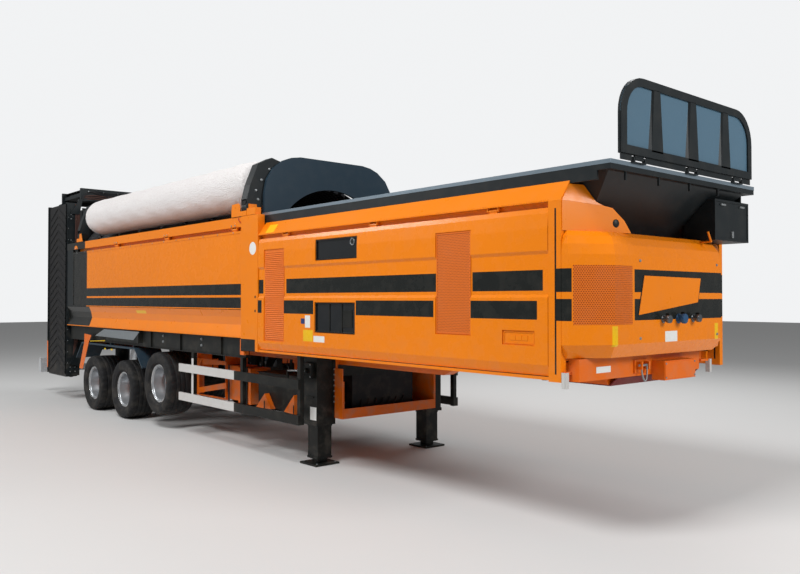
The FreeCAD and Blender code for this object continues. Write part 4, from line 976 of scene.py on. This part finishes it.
def wallForm(out):
    w = wall
    form = Form()
    slab(form, out, w["start"], w["end"], w["face"], w["face"] + 0.010, w["low"] + 0.001, w["low"] + 0.020)
    slab(form, out, w["start"], w["end"], w["face"], w["face"] + 0.004, w["high"] - 0.030, w["high"])
    for x in (w["start"], w["end"] - 0.030):
        slab(form, out, x, x + 0.030, w["face"], w["face"] + 0.005, w["low"] + 0.020, w["high"] - 0.030)
    x = w["start"] + 0.20
    while x < w["end"] - 0.1:
        form.bolt((x, out * (w["face"] + 0.004), w["high"] - 0.015), (0, out, 0), 0.007, tint=1)
        x += 0.41
    return form


wallFinishes = [orangeWall, galvanised]
for side, out in machineSides:
    wallForm(out).finish("wallTrim_" + side, wallFinishes, "wall_" + side, "orange_paint", bevel=0.001)
print("walls done")

# Front panel: blank plate, sockets, plug, lamps, shackle and chains
front = {
    "face": 6.700, "sockets": [(-0.280, 0.034, 1), (-0.040, 0.042, 2), (0.200, 0.034, 1)], "socketZ": 1.750,
    "plate": [(-0.562, 2.102), (0.329, 2.094), (0.278, 1.886), (-0.645, 1.787)],
    "beamFace": 6.520, "coverFace": 6.640, "lamps": [(-1.271, -1.236), (0.935, 0.970)],
}


def grown(points, by):
    middle = sum((Vector(p) for p in points), Vector((0, 0))) / len(points)
    return [Vector(p) + (Vector(p) - middle).normalized() * by for p in points]


def frontForm():
    f = front
    form = Form()
    plate = [Vector(p) for p in f["plate"]]
    form.prism([(f["face"], p.x, p.y) for p in grown(plate, 0.012)], (0.002, 0, 0), tint=1)
    form.prism([(f["face"] + 0.002, p.x, p.y) for p in plate], (0.003, 0, 0))
    for y in (-0.62, 0.62):
        for z in (1.60, 2.22):
            form.bolt((f["face"], y, z), (1, 0, 0), 0.010, tint=2)
    # round plug on the corner plate
    form.lathe([(0.0001, 0), (0.036, 0), (0.036, 0.004), (0.028, 0.010), (0.0001, 0.010)],
               (6.560, -0.748, 2.519), (0.966, -0.259, 0), 32, tint=1)
    # peg at the left end of the hood's top
    form.rod((6.600, 0.490, 2.424), (6.730, 0.468, 2.424), 0.008, 12)
    form.rod((6.730, 0.468, 2.418), (6.730, 0.411, 2.508), 0.009, 12)
    # shackle and its eye on the beam
    x = f["beamFace"]
    form.box(x, x + 0.014, -0.440, -0.250, 1.300, 1.410, tint=3)
    for y in (-0.400, -0.290):
        form.box(x + 0.014, x + 0.060, y - 0.010, y + 0.010, 1.330, 1.395, tint=3)
    form.rod((x + 0.040, -0.425, 1.365), (x + 0.040, -0.265, 1.365), 0.010, 16, tint=2)
    ring = []
    for i in range(25):
        turn = math.pi * (0.02 + 0.96 * i / 24)
        ring.append(Vector((x + 0.040 + 0.010 * math.sin(turn), -0.345 + 0.042 * math.cos(turn),
                            1.365 - 0.130 * math.sin(turn))))
    for a, b in zip(ring, ring[1:]):
        form.rod(a, b, 0.0075, 10, tint=2)
    # a bolted cover on the low box
    far = f["coverFace"]
    form.box(far, far + 0.004, -0.152, 0.337, 1.240, 1.382, tint=3)
    for y in (-0.140, 0.325):
        for z in (1.252, 1.370):
            form.bolt((far + 0.004, y, z), (1, 0, 0), 0.007, tint=2)
    form.box(x, x + 0.002, -0.960, -0.765, 1.330, 1.380, tint=4)
    # marker lamps on their carriers
    for right, left in f["lamps"]:
        form.box(6.4562, 6.4660, right - 0.001, left + 0.001, 1.224, 1.348, tint=5)
        for y in (right - 0.003, left + 0.0005):
            form.box(6.4240, 6.4562, y, y + 0.0025, 1.224, 1.348, tint=5)
    return form


frontFinishes = [orangePaint, blackPaint, galvanised, orangeFrame, labelWhite, lampClear]
frontForm().finish("frontTrim", frontFinishes, "chassis", "orange_paint", bevel=0.0015)


def socketForm():
    f = front
    form = Form()
    for y, radius, colour in f["sockets"]:
        at = (f["face"], y, f["socketZ"])
        form.lathe([(0.0001, 0), (radius, 0), (radius, 0.006), (radius * 0.70, 0.010), (radius * 0.70, 0.034),
                    (radius * 0.95, 0.038), (radius, 0.046), (radius, 0.064), (radius * 0.9, 0.0695),
                    (0.0001, 0.0695)], at, (1, 0, 0), 32, tint=colour)
        form.box(f["face"] + 0.030, f["face"] + 0.062, y - 0.012, y + 0.012, f["socketZ"] + radius - 0.003,
                 f["socketZ"] + radius + 0.014)
        for turn in (0.8, 2.35, 3.95, 5.5):
            form.bolt((f["face"] + 0.006, y + radius * 0.84 * math.cos(turn),
                       f["socketZ"] + radius * 0.84 * math.sin(turn)), (1, 0, 0), 0.0035)
    return form


socketForm().finish("socketGroup", [blackPaint, darkSteel, socketBlue], "chassis", "grey_steel",
                    bevel=0.0006, replaces=["air_couplings"])
print("front done")

# Hopper: bright steel on the rim's top, a painted reflection of sky along the outer lip, wear plates, belt
# bars, hinge bolts, ribs under the rim
hopper = {
    "rear": 1.690, "front": 6.792, "half": 1.158, "inner": 1.138, "rim": 2.960, "floor": 2.048,
    "floorHalf": 0.460, "floorFront": 5.838, "topHalf": 1.120, "beltTop": 2.042,
}


def hopperForm():
    h = hopper
    form = Form()
    low, high = h["rim"], h["rim"] + 0.005
    for out in (-1, 1):
        slab(form, out, h["rear"] + 0.060, h["front"] - 0.031, h["inner"], h["half"], low, high, tint=1)
    form.box(h["front"] - 0.031, h["front"], -h["half"], h["half"], low, high, tint=1)
    # outer lip painted blue-grey: a painted reflection of the sky, standing in for a highlight along the rim
    for out in (-1, 1):
        slab(form, out, h["rear"] + 0.060, h["front"], h["half"], h["half"] + 0.0025, 2.932, h["rim"] + 0.005,
             tint=3)
    form.box(h["front"], h["front"] + 0.0025, -h["half"] - 0.0025, h["half"] + 0.0025, 2.932,
             h["rim"] + 0.005, tint=3)
    # seams of the wear plates on the sloped walls
    for out in (-1, 1):
        for x in (2.70, 3.70, 4.70, 5.60):
            a = Vector((x, out * (h["floorHalf"] + 0.002), h["floor"] + 0.02))
            b = Vector((x, out * (h["topHalf"] - 0.012), h["rim"] - 0.02))
            lean = Vector((0, -out * 0.010, 0.0))
            verts = [a, b, b + Vector((0.05, 0, 0)), a + Vector((0.05, 0, 0))]
            form.block(verts, [v + lean for v in verts])
            for share in (0.12, 0.36, 0.62, 0.88):
                spot = a.lerp(b, share) + Vector((0.025, 0, 0)) + lean
                form.bolt(spot, (0, -out * 0.81, 0.585), 0.009, tint=1)
    # strips over the belt's edges
    for out in (-1, 1):
        slab(form, out, h["rear"] + 0.02, h["floorFront"] - 0.05, h["floorHalf"] - 0.045,
             h["floorHalf"] - 0.002, h["floor"] + 0.001, h["floor"] + 0.012, tint=2)
    # ribs and gussets under the front rim
    for y in (-0.95, -0.48, 0.0, 0.48):
        form.box(6.774, 6.7915, y - 0.006, y + 0.006, 2.822, 2.888)
    for y in (-0.8, 0.0, 0.8):
        for side in (-0.072, 0.072):
            form.bolt((6.780, y + side * 0.7, h["rim"] + 0.008), (0, 0, 1), 0.006, tint=1)
    return form


hopperForm().finish("hopperTrim", [anthracite, brightSteel, beltRubber, rimSkyReflection], "chassis", "black_paint",
                    bevel=0.0008)
belt = Form()
barX = hopper["rear"] + 0.15
while barX < hopper["floorFront"] - 0.12:
    belt.box(barX, barX + 0.030, -0.405, 0.405, hopper["beltTop"], hopper["beltTop"] + 0.016)
    barX += 0.38
belt.finish("hopperBeltBars", [beltRubber], "chassis", "belt_rubber", bevel=0.003)
print("hopper done")

# Box on the left front corner: lid rim, hinges and a catch
corner = {"front": 6.715, "right": 0.560, "left": 1.200, "low": 2.445, "high": 2.815}
case = Form()
for z in (corner["low"], corner["high"] - 0.020):
    case.box(corner["front"], corner["front"] + 0.006, corner["right"], corner["left"], z, z + 0.020)
for y in (corner["right"], corner["left"] - 0.020):
    case.box(corner["front"], corner["front"] + 0.006, y, y + 0.020, corner["low"] + 0.020,
             corner["high"] - 0.020)
for y in (0.70, 1.06):
    x, z = corner["front"] + 0.010, corner["high"] - 0.045
    case.rod((x, y - 0.04, z), (x, y + 0.04, z), 0.009, 14, tint=1)
case.box(corner["front"], corner["front"] + 0.014, 0.865, 0.895, corner["low"] + 0.03, corner["low"] + 0.09,
         tint=1)
case.finish("cornerBoxTrim", [anthracite, galvanised], "chassis", "black_paint", bevel=0.001)

# Brush arms: pressed edges, end discs, bolts and hoses along the front arm
arm = {"pivot": (-1.180, 3.050), "axis": (-0.900, 3.386), "half": 0.085, "past": 0.200,
       "rows": [(-4.400, -4.300, -1), (1.505, 1.625, 1)]}


def armForm():
    a = arm
    form = Form()
    pivot, axis = Vector(a["pivot"]), Vector(a["axis"])
    along = (axis - pivot).normalized()
    across = Vector((-along.y, along.x))
    end = axis + along * a["past"]
    for x0, x1, out in a["rows"]:
        face = x1 if out > 0 else x0
        reach = 0.012
        near, far = min(face, face + out * reach), max(face, face + out * reach)
        for side in (-1, 1):
            low = pivot + across * side * (a["half"] - 0.012)
            high = end + across * side * (a["half"] - 0.012)
            width = across * 0.010
            outline = [low - width, low + width, high + width, high - width]
            form.prism([(near, p.x, p.y) for p in outline], (far - near, 0, 0))
        form.lathe([(0.032, 0), (0.078, 0), (0.078, 0.010), (0.068, 0.014), (0.032, 0.014)],
                   (face, axis.x, axis.y), (out, 0, 0), 40, closed=True)
        for i in range(6):
            turn = math.pi * i / 3
            form.bolt((face + out * 0.014, axis.x + 0.056 * math.cos(turn), axis.y + 0.056 * math.sin(turn)),
                      (out, 0, 0), 0.006, tint=1)
        for share in (0.30, 0.62):
            spot = pivot.lerp(axis, share)
            form.bolt((face, spot.x, spot.y), (out, 0, 0), 0.011, tint=1)
        # stiffening ribs on the arm's upper face
        for share in (0.35, 0.65, 0.92, 1.12):
            foot = pivot.lerp(axis, share) + across * a["half"]
            top = foot + across * 0.012
            tilt = along * 0.006
            outline = [foot - tilt, foot + tilt, top + tilt, top - tilt]
            form.prism([(x0 + 0.006, p.x, p.y) for p in outline], (x1 - x0 - 0.012, 0, 0))
    return form


armForm().finish("brushArmTrim", [anthracite, galvanised], "brush_carrier", "dark_paint", bevel=0.0012)
hoses("brushHoses", [
    [(1.52 + 0.024 * i, -1.262, 3.08), (1.52 + 0.024 * i, -1.246, 3.16), (1.52 + 0.024 * i, -1.15, 3.26),
     (1.52 + 0.024 * i, -1.04, 3.385), (1.54 + 0.016 * i, -0.93, 3.515), (1.55 + 0.012 * i, -0.86, 3.60)]
    for i in range(4)], 0.008, hoseRubber, "brush_carrier")
print("brush arms done")

# Side structure between the wheels and the legs: open frame, tank, tool box and chocks, alike on both sides
understory = {
    "out": 0.905, "in": 0.545, "rear": -0.430, "front": 1.110, "low": 0.530, "top": 1.060, "tank": 0.470,
    "boxRear": 1.360, "boxFront": 2.400, "boxOut": 0.945, "boxTop": 0.980,
}


def prismXZ(form, out, points, near, far, tint=0):
    # an outline in X and Z pushed along Y on one side of the machine
    form.prism([(x, out * near, z) for x, z in points], (0, out * (far - near), 0), tint)


def sideStructure(out):
    u = understory
    form = Form()
    near, far = u["out"] - 0.012, u["out"]
    prismXZ(form, out, [(u["rear"], u["low"]), (u["rear"] + 0.09, u["low"]), (u["rear"] + 0.09, 0.96),
                        (u["rear"] + 0.20, u["top"]), (u["rear"], u["top"])], near, far)
    prismXZ(form, out, [(u["rear"] + 0.20, 0.975), (u["tank"], 1.010), (u["tank"], u["top"]),
                        (u["rear"] + 0.20, u["top"])], near, far)
    prismXZ(form, out, [(u["rear"] + 0.09, 0.560), (u["tank"], 0.690), (u["tank"], 0.770),
                        (u["rear"] + 0.09, 0.635)], near, far)
    slab(form, out, u["rear"] + 0.09, u["tank"], far - 0.060, far, u["low"], u["low"] + 0.010)
    # uprights that hang the frame from the chassis beams, with their gussets
    for x in (u["rear"] + 0.01, u["tank"] - 0.05):
        slab(form, out, x, x + 0.010, u["in"], near, 0.90, 1.149)
        slab(form, out, x, x + 0.010, near - 0.11, near, u["low"] + 0.01, 0.90)
    slab(form, out, u["tank"], u["tank"] + 0.30, u["in"] + 0.05, u["out"] - 0.03, u["low"] + 0.02, 1.010)
    slab(form, out, u["tank"] + 0.32, u["front"], u["in"] + 0.05, u["out"] - 0.01, u["low"], 1.000)
    for x in (u["tank"] + 0.06, u["front"] - 0.10):
        slab(form, out, x, x + 0.035, u["in"] + 0.04, u["out"] + 0.004, u["low"] - 0.006, u["low"] - 0.001,
             tint=1)
        slab(form, out, x, x + 0.035, u["out"] - 0.004, u["out"] + 0.004, u["low"] - 0.001, 1.012, tint=1)
        slab(form, out, x, x + 0.035, u["in"] + 0.10, u["out"] + 0.004, 1.012, 1.018, tint=1)
        slab(form, out, x, x + 0.035, u["in"] + 0.10, u["in"] + 0.13, 1.018, 1.149, tint=1)
    for z in (0.62, 0.78, 0.94):
        form.bolt((u["front"] - 0.22, out * (u["out"] - 0.01), z), (0, out, 0), 0.012, tint=2)
    # tool box: lid, catches, hangers
    x0, x1 = u["boxRear"], u["boxFront"]
    slab(form, out, x0, x1, u["in"], u["boxOut"] - 0.02, u["low"], u["boxTop"], tint=1)
    slab(form, out, x0 + 0.03, x1 - 0.03, u["boxOut"] - 0.02, u["boxOut"] - 0.008, u["low"] + 0.03,
         u["boxTop"] - 0.05, tint=1)
    slab(form, out, x0 - 0.005, x1 + 0.005, u["in"] - 0.005, u["boxOut"], u["boxTop"], u["boxTop"] + 0.010,
         tint=1)
    for x in (x0 + 0.16, x1 - 0.20):
        slab(form, out, x, x + 0.05, u["in"], u["in"] + 0.010, u["boxTop"] + 0.010, 1.149, tint=1)
        slab(form, out, x, x + 0.04, u["boxOut"] - 0.008, u["boxOut"] + 0.004, u["boxTop"] - 0.13,
             u["boxTop"] - 0.07, tint=2)
    # wheel chocks in their holders
    chocks = [[(1.43, 0.545), (1.64, 0.735), (1.79, 0.555)], [(2.08, 0.555), (2.30, 0.775), (2.32, 0.545)]]
    for points in chocks:
        prismXZ(form, out, points, u["boxOut"] - 0.006, u["boxOut"] + 0.060)
        slab(form, out, points[0][0] - 0.01, points[2][0] + 0.01, u["boxOut"] - 0.008, u["boxOut"] + 0.066,
             points[0][1] - 0.022, points[0][1] - 0.012, tint=1)
        slab(form, out, points[1][0] - 0.01, points[1][0] + 0.01, u["boxOut"] + 0.062, u["boxOut"] + 0.066,
             points[0][1] - 0.012, points[0][1] + 0.10, tint=1)
    return form


for side, out in machineSides:
    sideStructure(out).finish("sideStructure_" + side, [orangeFrame, blackPaint, galvanised], "chassis",
                              "orange_paint", bevel=0.003)
print("side structure done")

# Landing legs: flange bolts, gearbox, crank, cross shaft, blank plates and foot pins
leg = {"x": 2.614, "y": 0.852, "half": 0.130, "gearZ": 1.090, "crankReach": 0.34}


def legForm():
    g = leg
    form = Form()
    front, outer = g["x"] + g["half"], g["y"] + g["half"]
    for out in (-1, 1):
        y = g["y"] - 0.108
        slab(form, out, front, front + 0.008, y - 0.017, y + 0.017, 0.500, 1.265)
        z = 0.72
        while z < 1.12:
            form.bolt((front + 0.008, out * y, z), (1, 0, 0), 0.009, tint=1)
            z += 0.063
        slab(form, out, g["x"] - g["half"] - 0.008, front + 0.008, outer, outer + 0.008, 0.460, 0.500)
        slab(form, out, g["x"] - 0.004, g["x"] + 0.118, outer, outer + 0.003, 0.520, 0.670, tint=2)
        slab(form, out, g["x"] - 0.06, g["x"] + 0.07, outer, outer + 0.012, 0.775, 0.790)
        # gearbox with its cover bolts on the outer face
        slab(form, out, g["x"] - 0.085, g["x"] + 0.085, outer, outer + 0.050, 1.000, 1.180)
        form.rod((g["x"], out * (outer + 0.050), g["gearZ"]), (g["x"], out * (outer + 0.085), g["gearZ"]),
                 0.030, 24)
        for dx, dz in ((-0.065, -0.07), (0.065, -0.07), (-0.065, 0.07), (0.065, 0.07)):
            form.bolt((g["x"] + dx, out * (outer + 0.050), g["gearZ"] + dz), (0, out, 0), 0.009, tint=1)
        # foot pin and guide collars
        pin = g["x"] - 0.075
        form.rod((pin, out * (g["y"] + 0.058), 0.100), (pin, out * (g["y"] + 0.098), 0.100), 0.016, 16,
                 tint=1)
        for r, z0, z1 in ((0.105, 0.070, 0.092), (0.104, 0.440, 0.459)):
            slab(form, out, g["x"] - r, g["x"] + r, g["y"] - r, g["y"] + r, z0, z1)
        for dx in (-0.13, 0.13):
            for dy in (-0.13, 0.13):
                form.bolt((g["x"] + dx, out * (g["y"] + dy), 0.022), (0, 0, 1), 0.008, tint=1)
    form.rod((front - 0.13, -(g["y"] - g["half"]), 1.100), (front - 0.13, g["y"] - g["half"], 1.100), 0.024,
             20)
    # folded crank on the right leg
    y, grip = -(outer + 0.095), g["x"] - g["crankReach"]
    form.rod((g["x"], -(outer + 0.085), g["gearZ"]), (g["x"], -(outer + 0.100), g["gearZ"]), 0.013, 14,
             tint=1)
    form.rod((g["x"] - 0.010, y, g["gearZ"]), (grip, y, 1.070), 0.011, 14, tint=1)
    form.rod((grip, y, 1.078), (grip, y, 0.930), 0.014, 14)
    return form


legForm().finish("landingLegTrim", [blackPaint, galvanised, labelWhite], "chassis", "black_paint",
                 bevel=0.0015)
tray = Form()
for out in (-1, 1):
    slab(tray, out, 2.745, 2.900, 0.724, 0.738, 0.530, 1.110)
    slab(tray, out, 2.745, 2.760, 0.640, 0.724, 0.960, 1.250)
tray.box(2.762, 2.768, -0.70, 0.70, 1.012, 1.149, tint=1)
tray.box(2.150, 2.156, -0.70, 0.70, 0.545, 1.149)
for y in (-0.42, -0.14, 0.16, 0.44):
    tray.rod((2.62, y, 1.012), (2.62, y, 1.060), 0.035, 20, tint=1)
    tray.box(2.600, 2.612, y - 0.09, y - 0.04, 0.60, 0.68, tint=2)
tray.box(2.601, 2.660, -0.40, 0.40, 0.700, 0.860, tint=1)
for index in range(7):
    y = -0.34 + index * 0.113
    tray.rod((2.660, y, 0.815), (2.695, y, 0.815), 0.017, 16, tint=2)
    tray.rod((2.660, y, 0.745), (2.690, y, 0.745), 0.014, 16, tint=2)
tray.finish("hydraulicTrim", [orangeFrame, blackPaint, galvanised], "chassis", "orange_paint", bevel=0.0015)
hoses("trayHoses", [
    [(2.690, -0.34 + 0.113 * i, 0.745), (2.760, -0.34 + 0.113 * i, 0.715), (2.775, -0.36 + 0.10 * i, 0.620),
     (2.720, -0.40 + 0.09 * i, 0.575), (2.66, -0.45 + 0.07 * i, 0.570)] for i in range(7)],
    0.011, hoseRubber, "chassis")
print("legs done")

# Skirts, fenders and the steps over the rear wheels
skirt = {"face": 1.200, "leverNear": 1.2690, "leverFar": 1.2740}
skirting = Form()
for out in (-1, 1):
    for x in (-0.889, 0.332):
        for z in (1.285, 1.372):
            skirting.bolt((x, out * skirt["face"], z), (0, out, 0), 0.016, tint=1)
    for z in (1.300, 1.385):
        skirting.bolt((1.488, out * skirt["face"], z), (0, out, 0), 0.014, tint=1)
    for x in (-1.30, -0.30, 0.90):
        slab(skirting, out, x, x + 0.008, skirt["face"], skirt["face"] + 0.020, 1.185, 1.425)
    slab(skirting, out, -1.50, 1.515, skirt["face"], skirt["face"] + 0.022, 1.180, 1.190)
    plate = [(-3.50, 1.285), (-3.09, 1.408), (-1.62, 1.408), (-1.85, 1.272)]
    prismXZ(skirting, out, plate, 1.2603, 1.2630, tint=2)
    for row in range(5):
        z = 1.292 + row * 0.024
        x = -3.46 + (z - 1.285) * 3.33
        while x < -1.72 - (1.408 - z) * 1.6:
            slab(skirting, out, x, x + 0.05, 1.2630, 1.2645, z, z + 0.008, tint=2)
            x += 0.085
    # folded lips along the fender and its stays
    line = [(-4.420, 0.862), (-4.130, 1.142), (-1.790, 1.142), (-1.500, 0.862)]
    for (x0, z0), (x1, z1) in zip(line, line[1:]):
        prismXZ(skirting, out, [(x0, z0 - 0.016), (x1, z1 - 0.016), (x1, z1 + 0.012), (x0, z0 + 0.012)],
                1.2622, 1.2690, tint=3)
    for x in (-3.85, -2.05):
        skirting.rod((x, out * 1.10, 1.136), (x + 0.02, out * 0.92, 1.02), 0.014, 14)
    # small lamps
    for x in (-3.01, -2.72):
        slab(skirting, out, x - 0.030, x + 0.030, 1.2690, 1.2735, 1.070, 1.095, tint=4)
    # orange lever with its lug and a yellow grab handle
    lever = [(-4.000, 1.150), (-3.990, 1.305), (-3.650, 1.287), (-3.775, 1.165), (-4.067, 0.677),
             (-4.243, 0.680)]
    prismXZ(skirting, out, lever, 1.2695, skirt["leverFar"], tint=5)
    skirting.rod((-3.86, out * 1.2600, 1.235), (-3.86, out * 1.2695, 1.235), 0.050, 24, tint=5)
    grab = [(-3.690, 1.185), (-3.050, 1.215)]
    skirting.rod(*[(x, out * skirt["leverNear"], z) for x, z in grab], 0.0058, 12, tint=4)
    for x, z in grab:
        skirting.rod((x, out * 1.2598, z), (x, out * skirt["leverFar"], z), 0.0085, 12, tint=4)
    # hinge plate beside the section post
    slab(skirting, out, 1.522, 1.590, skirt["face"], skirt["leverFar"], 1.224, 1.2690, tint=5)
    slab(skirting, out, 1.500, 1.519, skirt["face"], skirt["leverFar"], 1.224, 1.4150, tint=5)
skirtFinishes = [blackPaint, galvanised, treadPlate, slatePaint, labelYellow, orangeFrame]
skirting.finish("skirtTrim", skirtFinishes, "chassis", "black_paint", bevel=0.001)
print("skirts done")

# Drum and housing edges: backing behind the hinge gaps, round hinge pads and a bead along the lower band's
# edge
edges = Form()
for out in (-1, 1):
    slab(edges, out, -4.630, 1.500, 1.200, 1.206, 2.740, 2.822)
    slab(edges, out, 1.940, 6.280, 1.216, 1.222, 2.600, 2.730)
    for x in (-4.480, -2.590, -0.675, 1.310):
        arc = [(x + 0.085 * math.cos(math.pi * i / 12), 2.822 + 0.062 * math.sin(math.pi * i / 12))
               for i in range(13)]
        prismXZ(edges, out, arc, 1.2622, 1.2680)
        for dx in (-0.045, 0.045):
            edges.bolt((x + dx, out * 1.2680, 2.838), (0, out, 0), 0.008, tint=1)
    # bead along the lower band's edge
    slab(edges, out, -4.930, 1.515, 1.2622, 1.2660, 1.432, 1.446)
edges.finish("edgeTrim", [orangePaint, galvanised], "chassis", "orange_paint", bevel=0.0012)
print("edges done")

# Brush arms: bulky welded cheeks, and their orange brackets with a red shackle
cheek = {
    "outline": [(-1.262, 3.150), (-1.215, 3.330), (-1.105, 3.600), (-0.905, 3.700), (-0.745, 3.655),
                (-0.830, 3.500), (-1.010, 3.200), (-1.080, 3.075), (-1.180, 2.985), (-1.250, 3.010)],
    "thick": 0.009, "plates": [(1.494, 1.627, 1), (-4.411, -4.298, -1)],
    "boltLine": [(-1.165, 3.120), (-0.850, 3.640)], "tieLine": [(-1.225, 3.200), (-1.095, 3.590)],
}


def cheekForm():
    c = cheek
    form = Form()
    for rear, front, out in c["plates"]:
        for x in (rear, front):
            form.prism([(x, y, z) for y, z in c["outline"]], (c["thick"], 0, 0))
        # ribs along the upper edge, then bolts on the outer plate and ties between the two
        low, high = rear + c["thick"], front
        for start, end in zip(c["outline"][:3], c["outline"][1:4]):
            a, b = Vector(start), Vector(end)
            across = Vector((-(b - a).normalized().y, (b - a).normalized().x)) * -0.010
            form.prism([(low, p.x, p.y) for p in (a, b, b + across, a + across)], (high - low, 0, 0))
        face = front + c["thick"] if out > 0 else rear
        a, b = (Vector(p) for p in c["boltLine"])
        for share, side in ((0.10, 0.03), (0.24, -0.045), (0.36, 0.05), (0.50, -0.05), (0.66, 0.04),
                            (0.80, -0.03), (0.92, 0.03)):
            spot = a.lerp(b, share) + Vector((side, side * -0.5))
            form.bolt((face, spot.x, spot.y), (out, 0, 0), 0.013, tint=1)
        a, b = (Vector(p) for p in c["tieLine"])
        for share in (0.18, 0.42, 0.72):
            spot = a.lerp(b, share)
            form.rod((low + 0.02, spot.x - 0.012, spot.y), (high - 0.02, spot.x - 0.012, spot.y), 0.008, 12,
                     tint=1)
    return form


cheekForm().finish("brushArmCheeks", [anthracite, galvanised], "brush_carrier", "dark_paint", bevel=0.0015)
# bracket plates beside the pivots, low where the arms turn past, a stop block and a red shackle
pivotPlates = {
    "near": 1.2660, "far": 1.2735, "foot": 2.945, "stop": (1.655, 1.850, 3.030),
    "front": [(1.270, 2.945), (1.270, 3.030), (1.290, 3.105), (1.450, 3.110), (1.486, 3.080), (1.486, 3.005),
              (1.645, 3.005), (1.645, 2.945)],
    "rear": [(-4.420, 2.945), (-4.420, 3.005), (-4.284, 3.005), (-4.284, 3.080), (-4.200, 3.090),
             (-4.130, 2.945)],
    "shackle": (1.600, 2.925), "long": 0.16, "drop": 0.075,
}


def shacklePoint(index, parts=12):
    turn = math.pi * index / parts
    x, z = pivotPlates["shackle"]
    return (x + pivotPlates["long"] * math.cos(turn), -1.2690, z - pivotPlates["drop"] * math.sin(turn))


bracket = Form()
for key in ("front", "rear"):
    prismXZ(bracket, -1, pivotPlates[key], pivotPlates["near"], pivotPlates["far"])
x0, x1, top = pivotPlates["stop"]
slab(bracket, -1, x0, x1, 1.190, pivotPlates["far"], pivotPlates["foot"], top)
for i in range(12):
    bracket.rod(shacklePoint(i), shacklePoint(i + 1), 0.0055, 10, tint=1)
bracket.finish("brushShackle", [orangePaint, redPart], "chassis", "orange_paint", bevel=0.0012)
print("brush brackets done")

# Camera, light and floor

camera = {"at": (10.178, -6.170, 1.913), "look": (-0.7554, 0.6550, 0.0155), "focal": 35.36}
lens = bpy.data.cameras.new("viewCamera")
lens.lens = camera["focal"]
lens.sensor_width = 36.0
lens.clip_end = 200.0
eye = bpy.data.objects.new("viewCamera", lens)
eye.location = camera["at"]
eye.rotation_euler = Vector(camera["look"]).to_track_quat("-Z", "Y").to_euler()
bpy.context.scene.collection.objects.link(eye)
bpy.context.scene.camera = eye

studio = {
    "lamps": [
        # place, aim, size, watts
        ((6.0, -8.5, 13.0), (0.5, 0.0, 1.8), 5.0, 1500.0),
        ((-9.0, -10.0, 9.0), (-3.0, 0.0, 1.8), 5.0, 680.0),
        ((15.0, 2.0, 6.0), (5.0, 0.0, 2.0), 4.0, 540.0),
        ((0.0, 9.0, 10.0), (0.0, 0.0, 2.0), 8.0, 620.0),
    ],
    "world": 0.27, "backdrop": 0.95,
}
for index, (place, aim, size, watts) in enumerate(studio["lamps"]):
    light = bpy.data.lights.new("softLamp%d" % index, "AREA")
    light.shape = "DISK"
    light.size = size
    light.energy = watts
    lamp = bpy.data.objects.new("softLamp%d" % index, light)
    lamp.location = place
    lamp.rotation_euler = (Vector(aim) - Vector(place)).to_track_quat("-Z", "Y").to_euler()
    bpy.context.scene.collection.objects.link(lamp)

world = bpy.data.worlds.new("studioWorld")
bpy.context.scene.world = world
world.use_nodes = True
worldTree = world.node_tree
backdrop = worldTree.nodes["Background"]
pathNode = worldTree.nodes.new("ShaderNodeLightPath")
seen = pathNode.outputs["Is Camera Ray"]
brighter = mathNode(worldTree, "MULTIPLY", seen, studio["backdrop"] - studio["world"])
level = mathNode(worldTree, "ADD", studio["world"], brighter)
worldTree.links.new(level, backdrop.inputs["Strength"])
backdrop.inputs["Color"].default_value = (0.93, 0.94, 0.95, 1)

floorMesh = bpy.data.meshes.new("studioFloor")
floorMesh.from_pydata([(-60, -60, 0), (60, -60, 0), (60, 60, 0), (-60, 60, 0)], [], [(0, 1, 2, 3)])
floorPiece = bpy.data.objects.new("studioFloor", floorMesh)
bpy.context.scene.collection.objects.link(floorPiece)
floorPaint = surface("floorPaint", (0.66, 0.66, 0.655), 0.7, drift=0.01, dust=0.0, bump=0.0)
floorMesh.materials.append(floorPaint)

bpy.context.scene.view_settings.view_transform = "Standard"
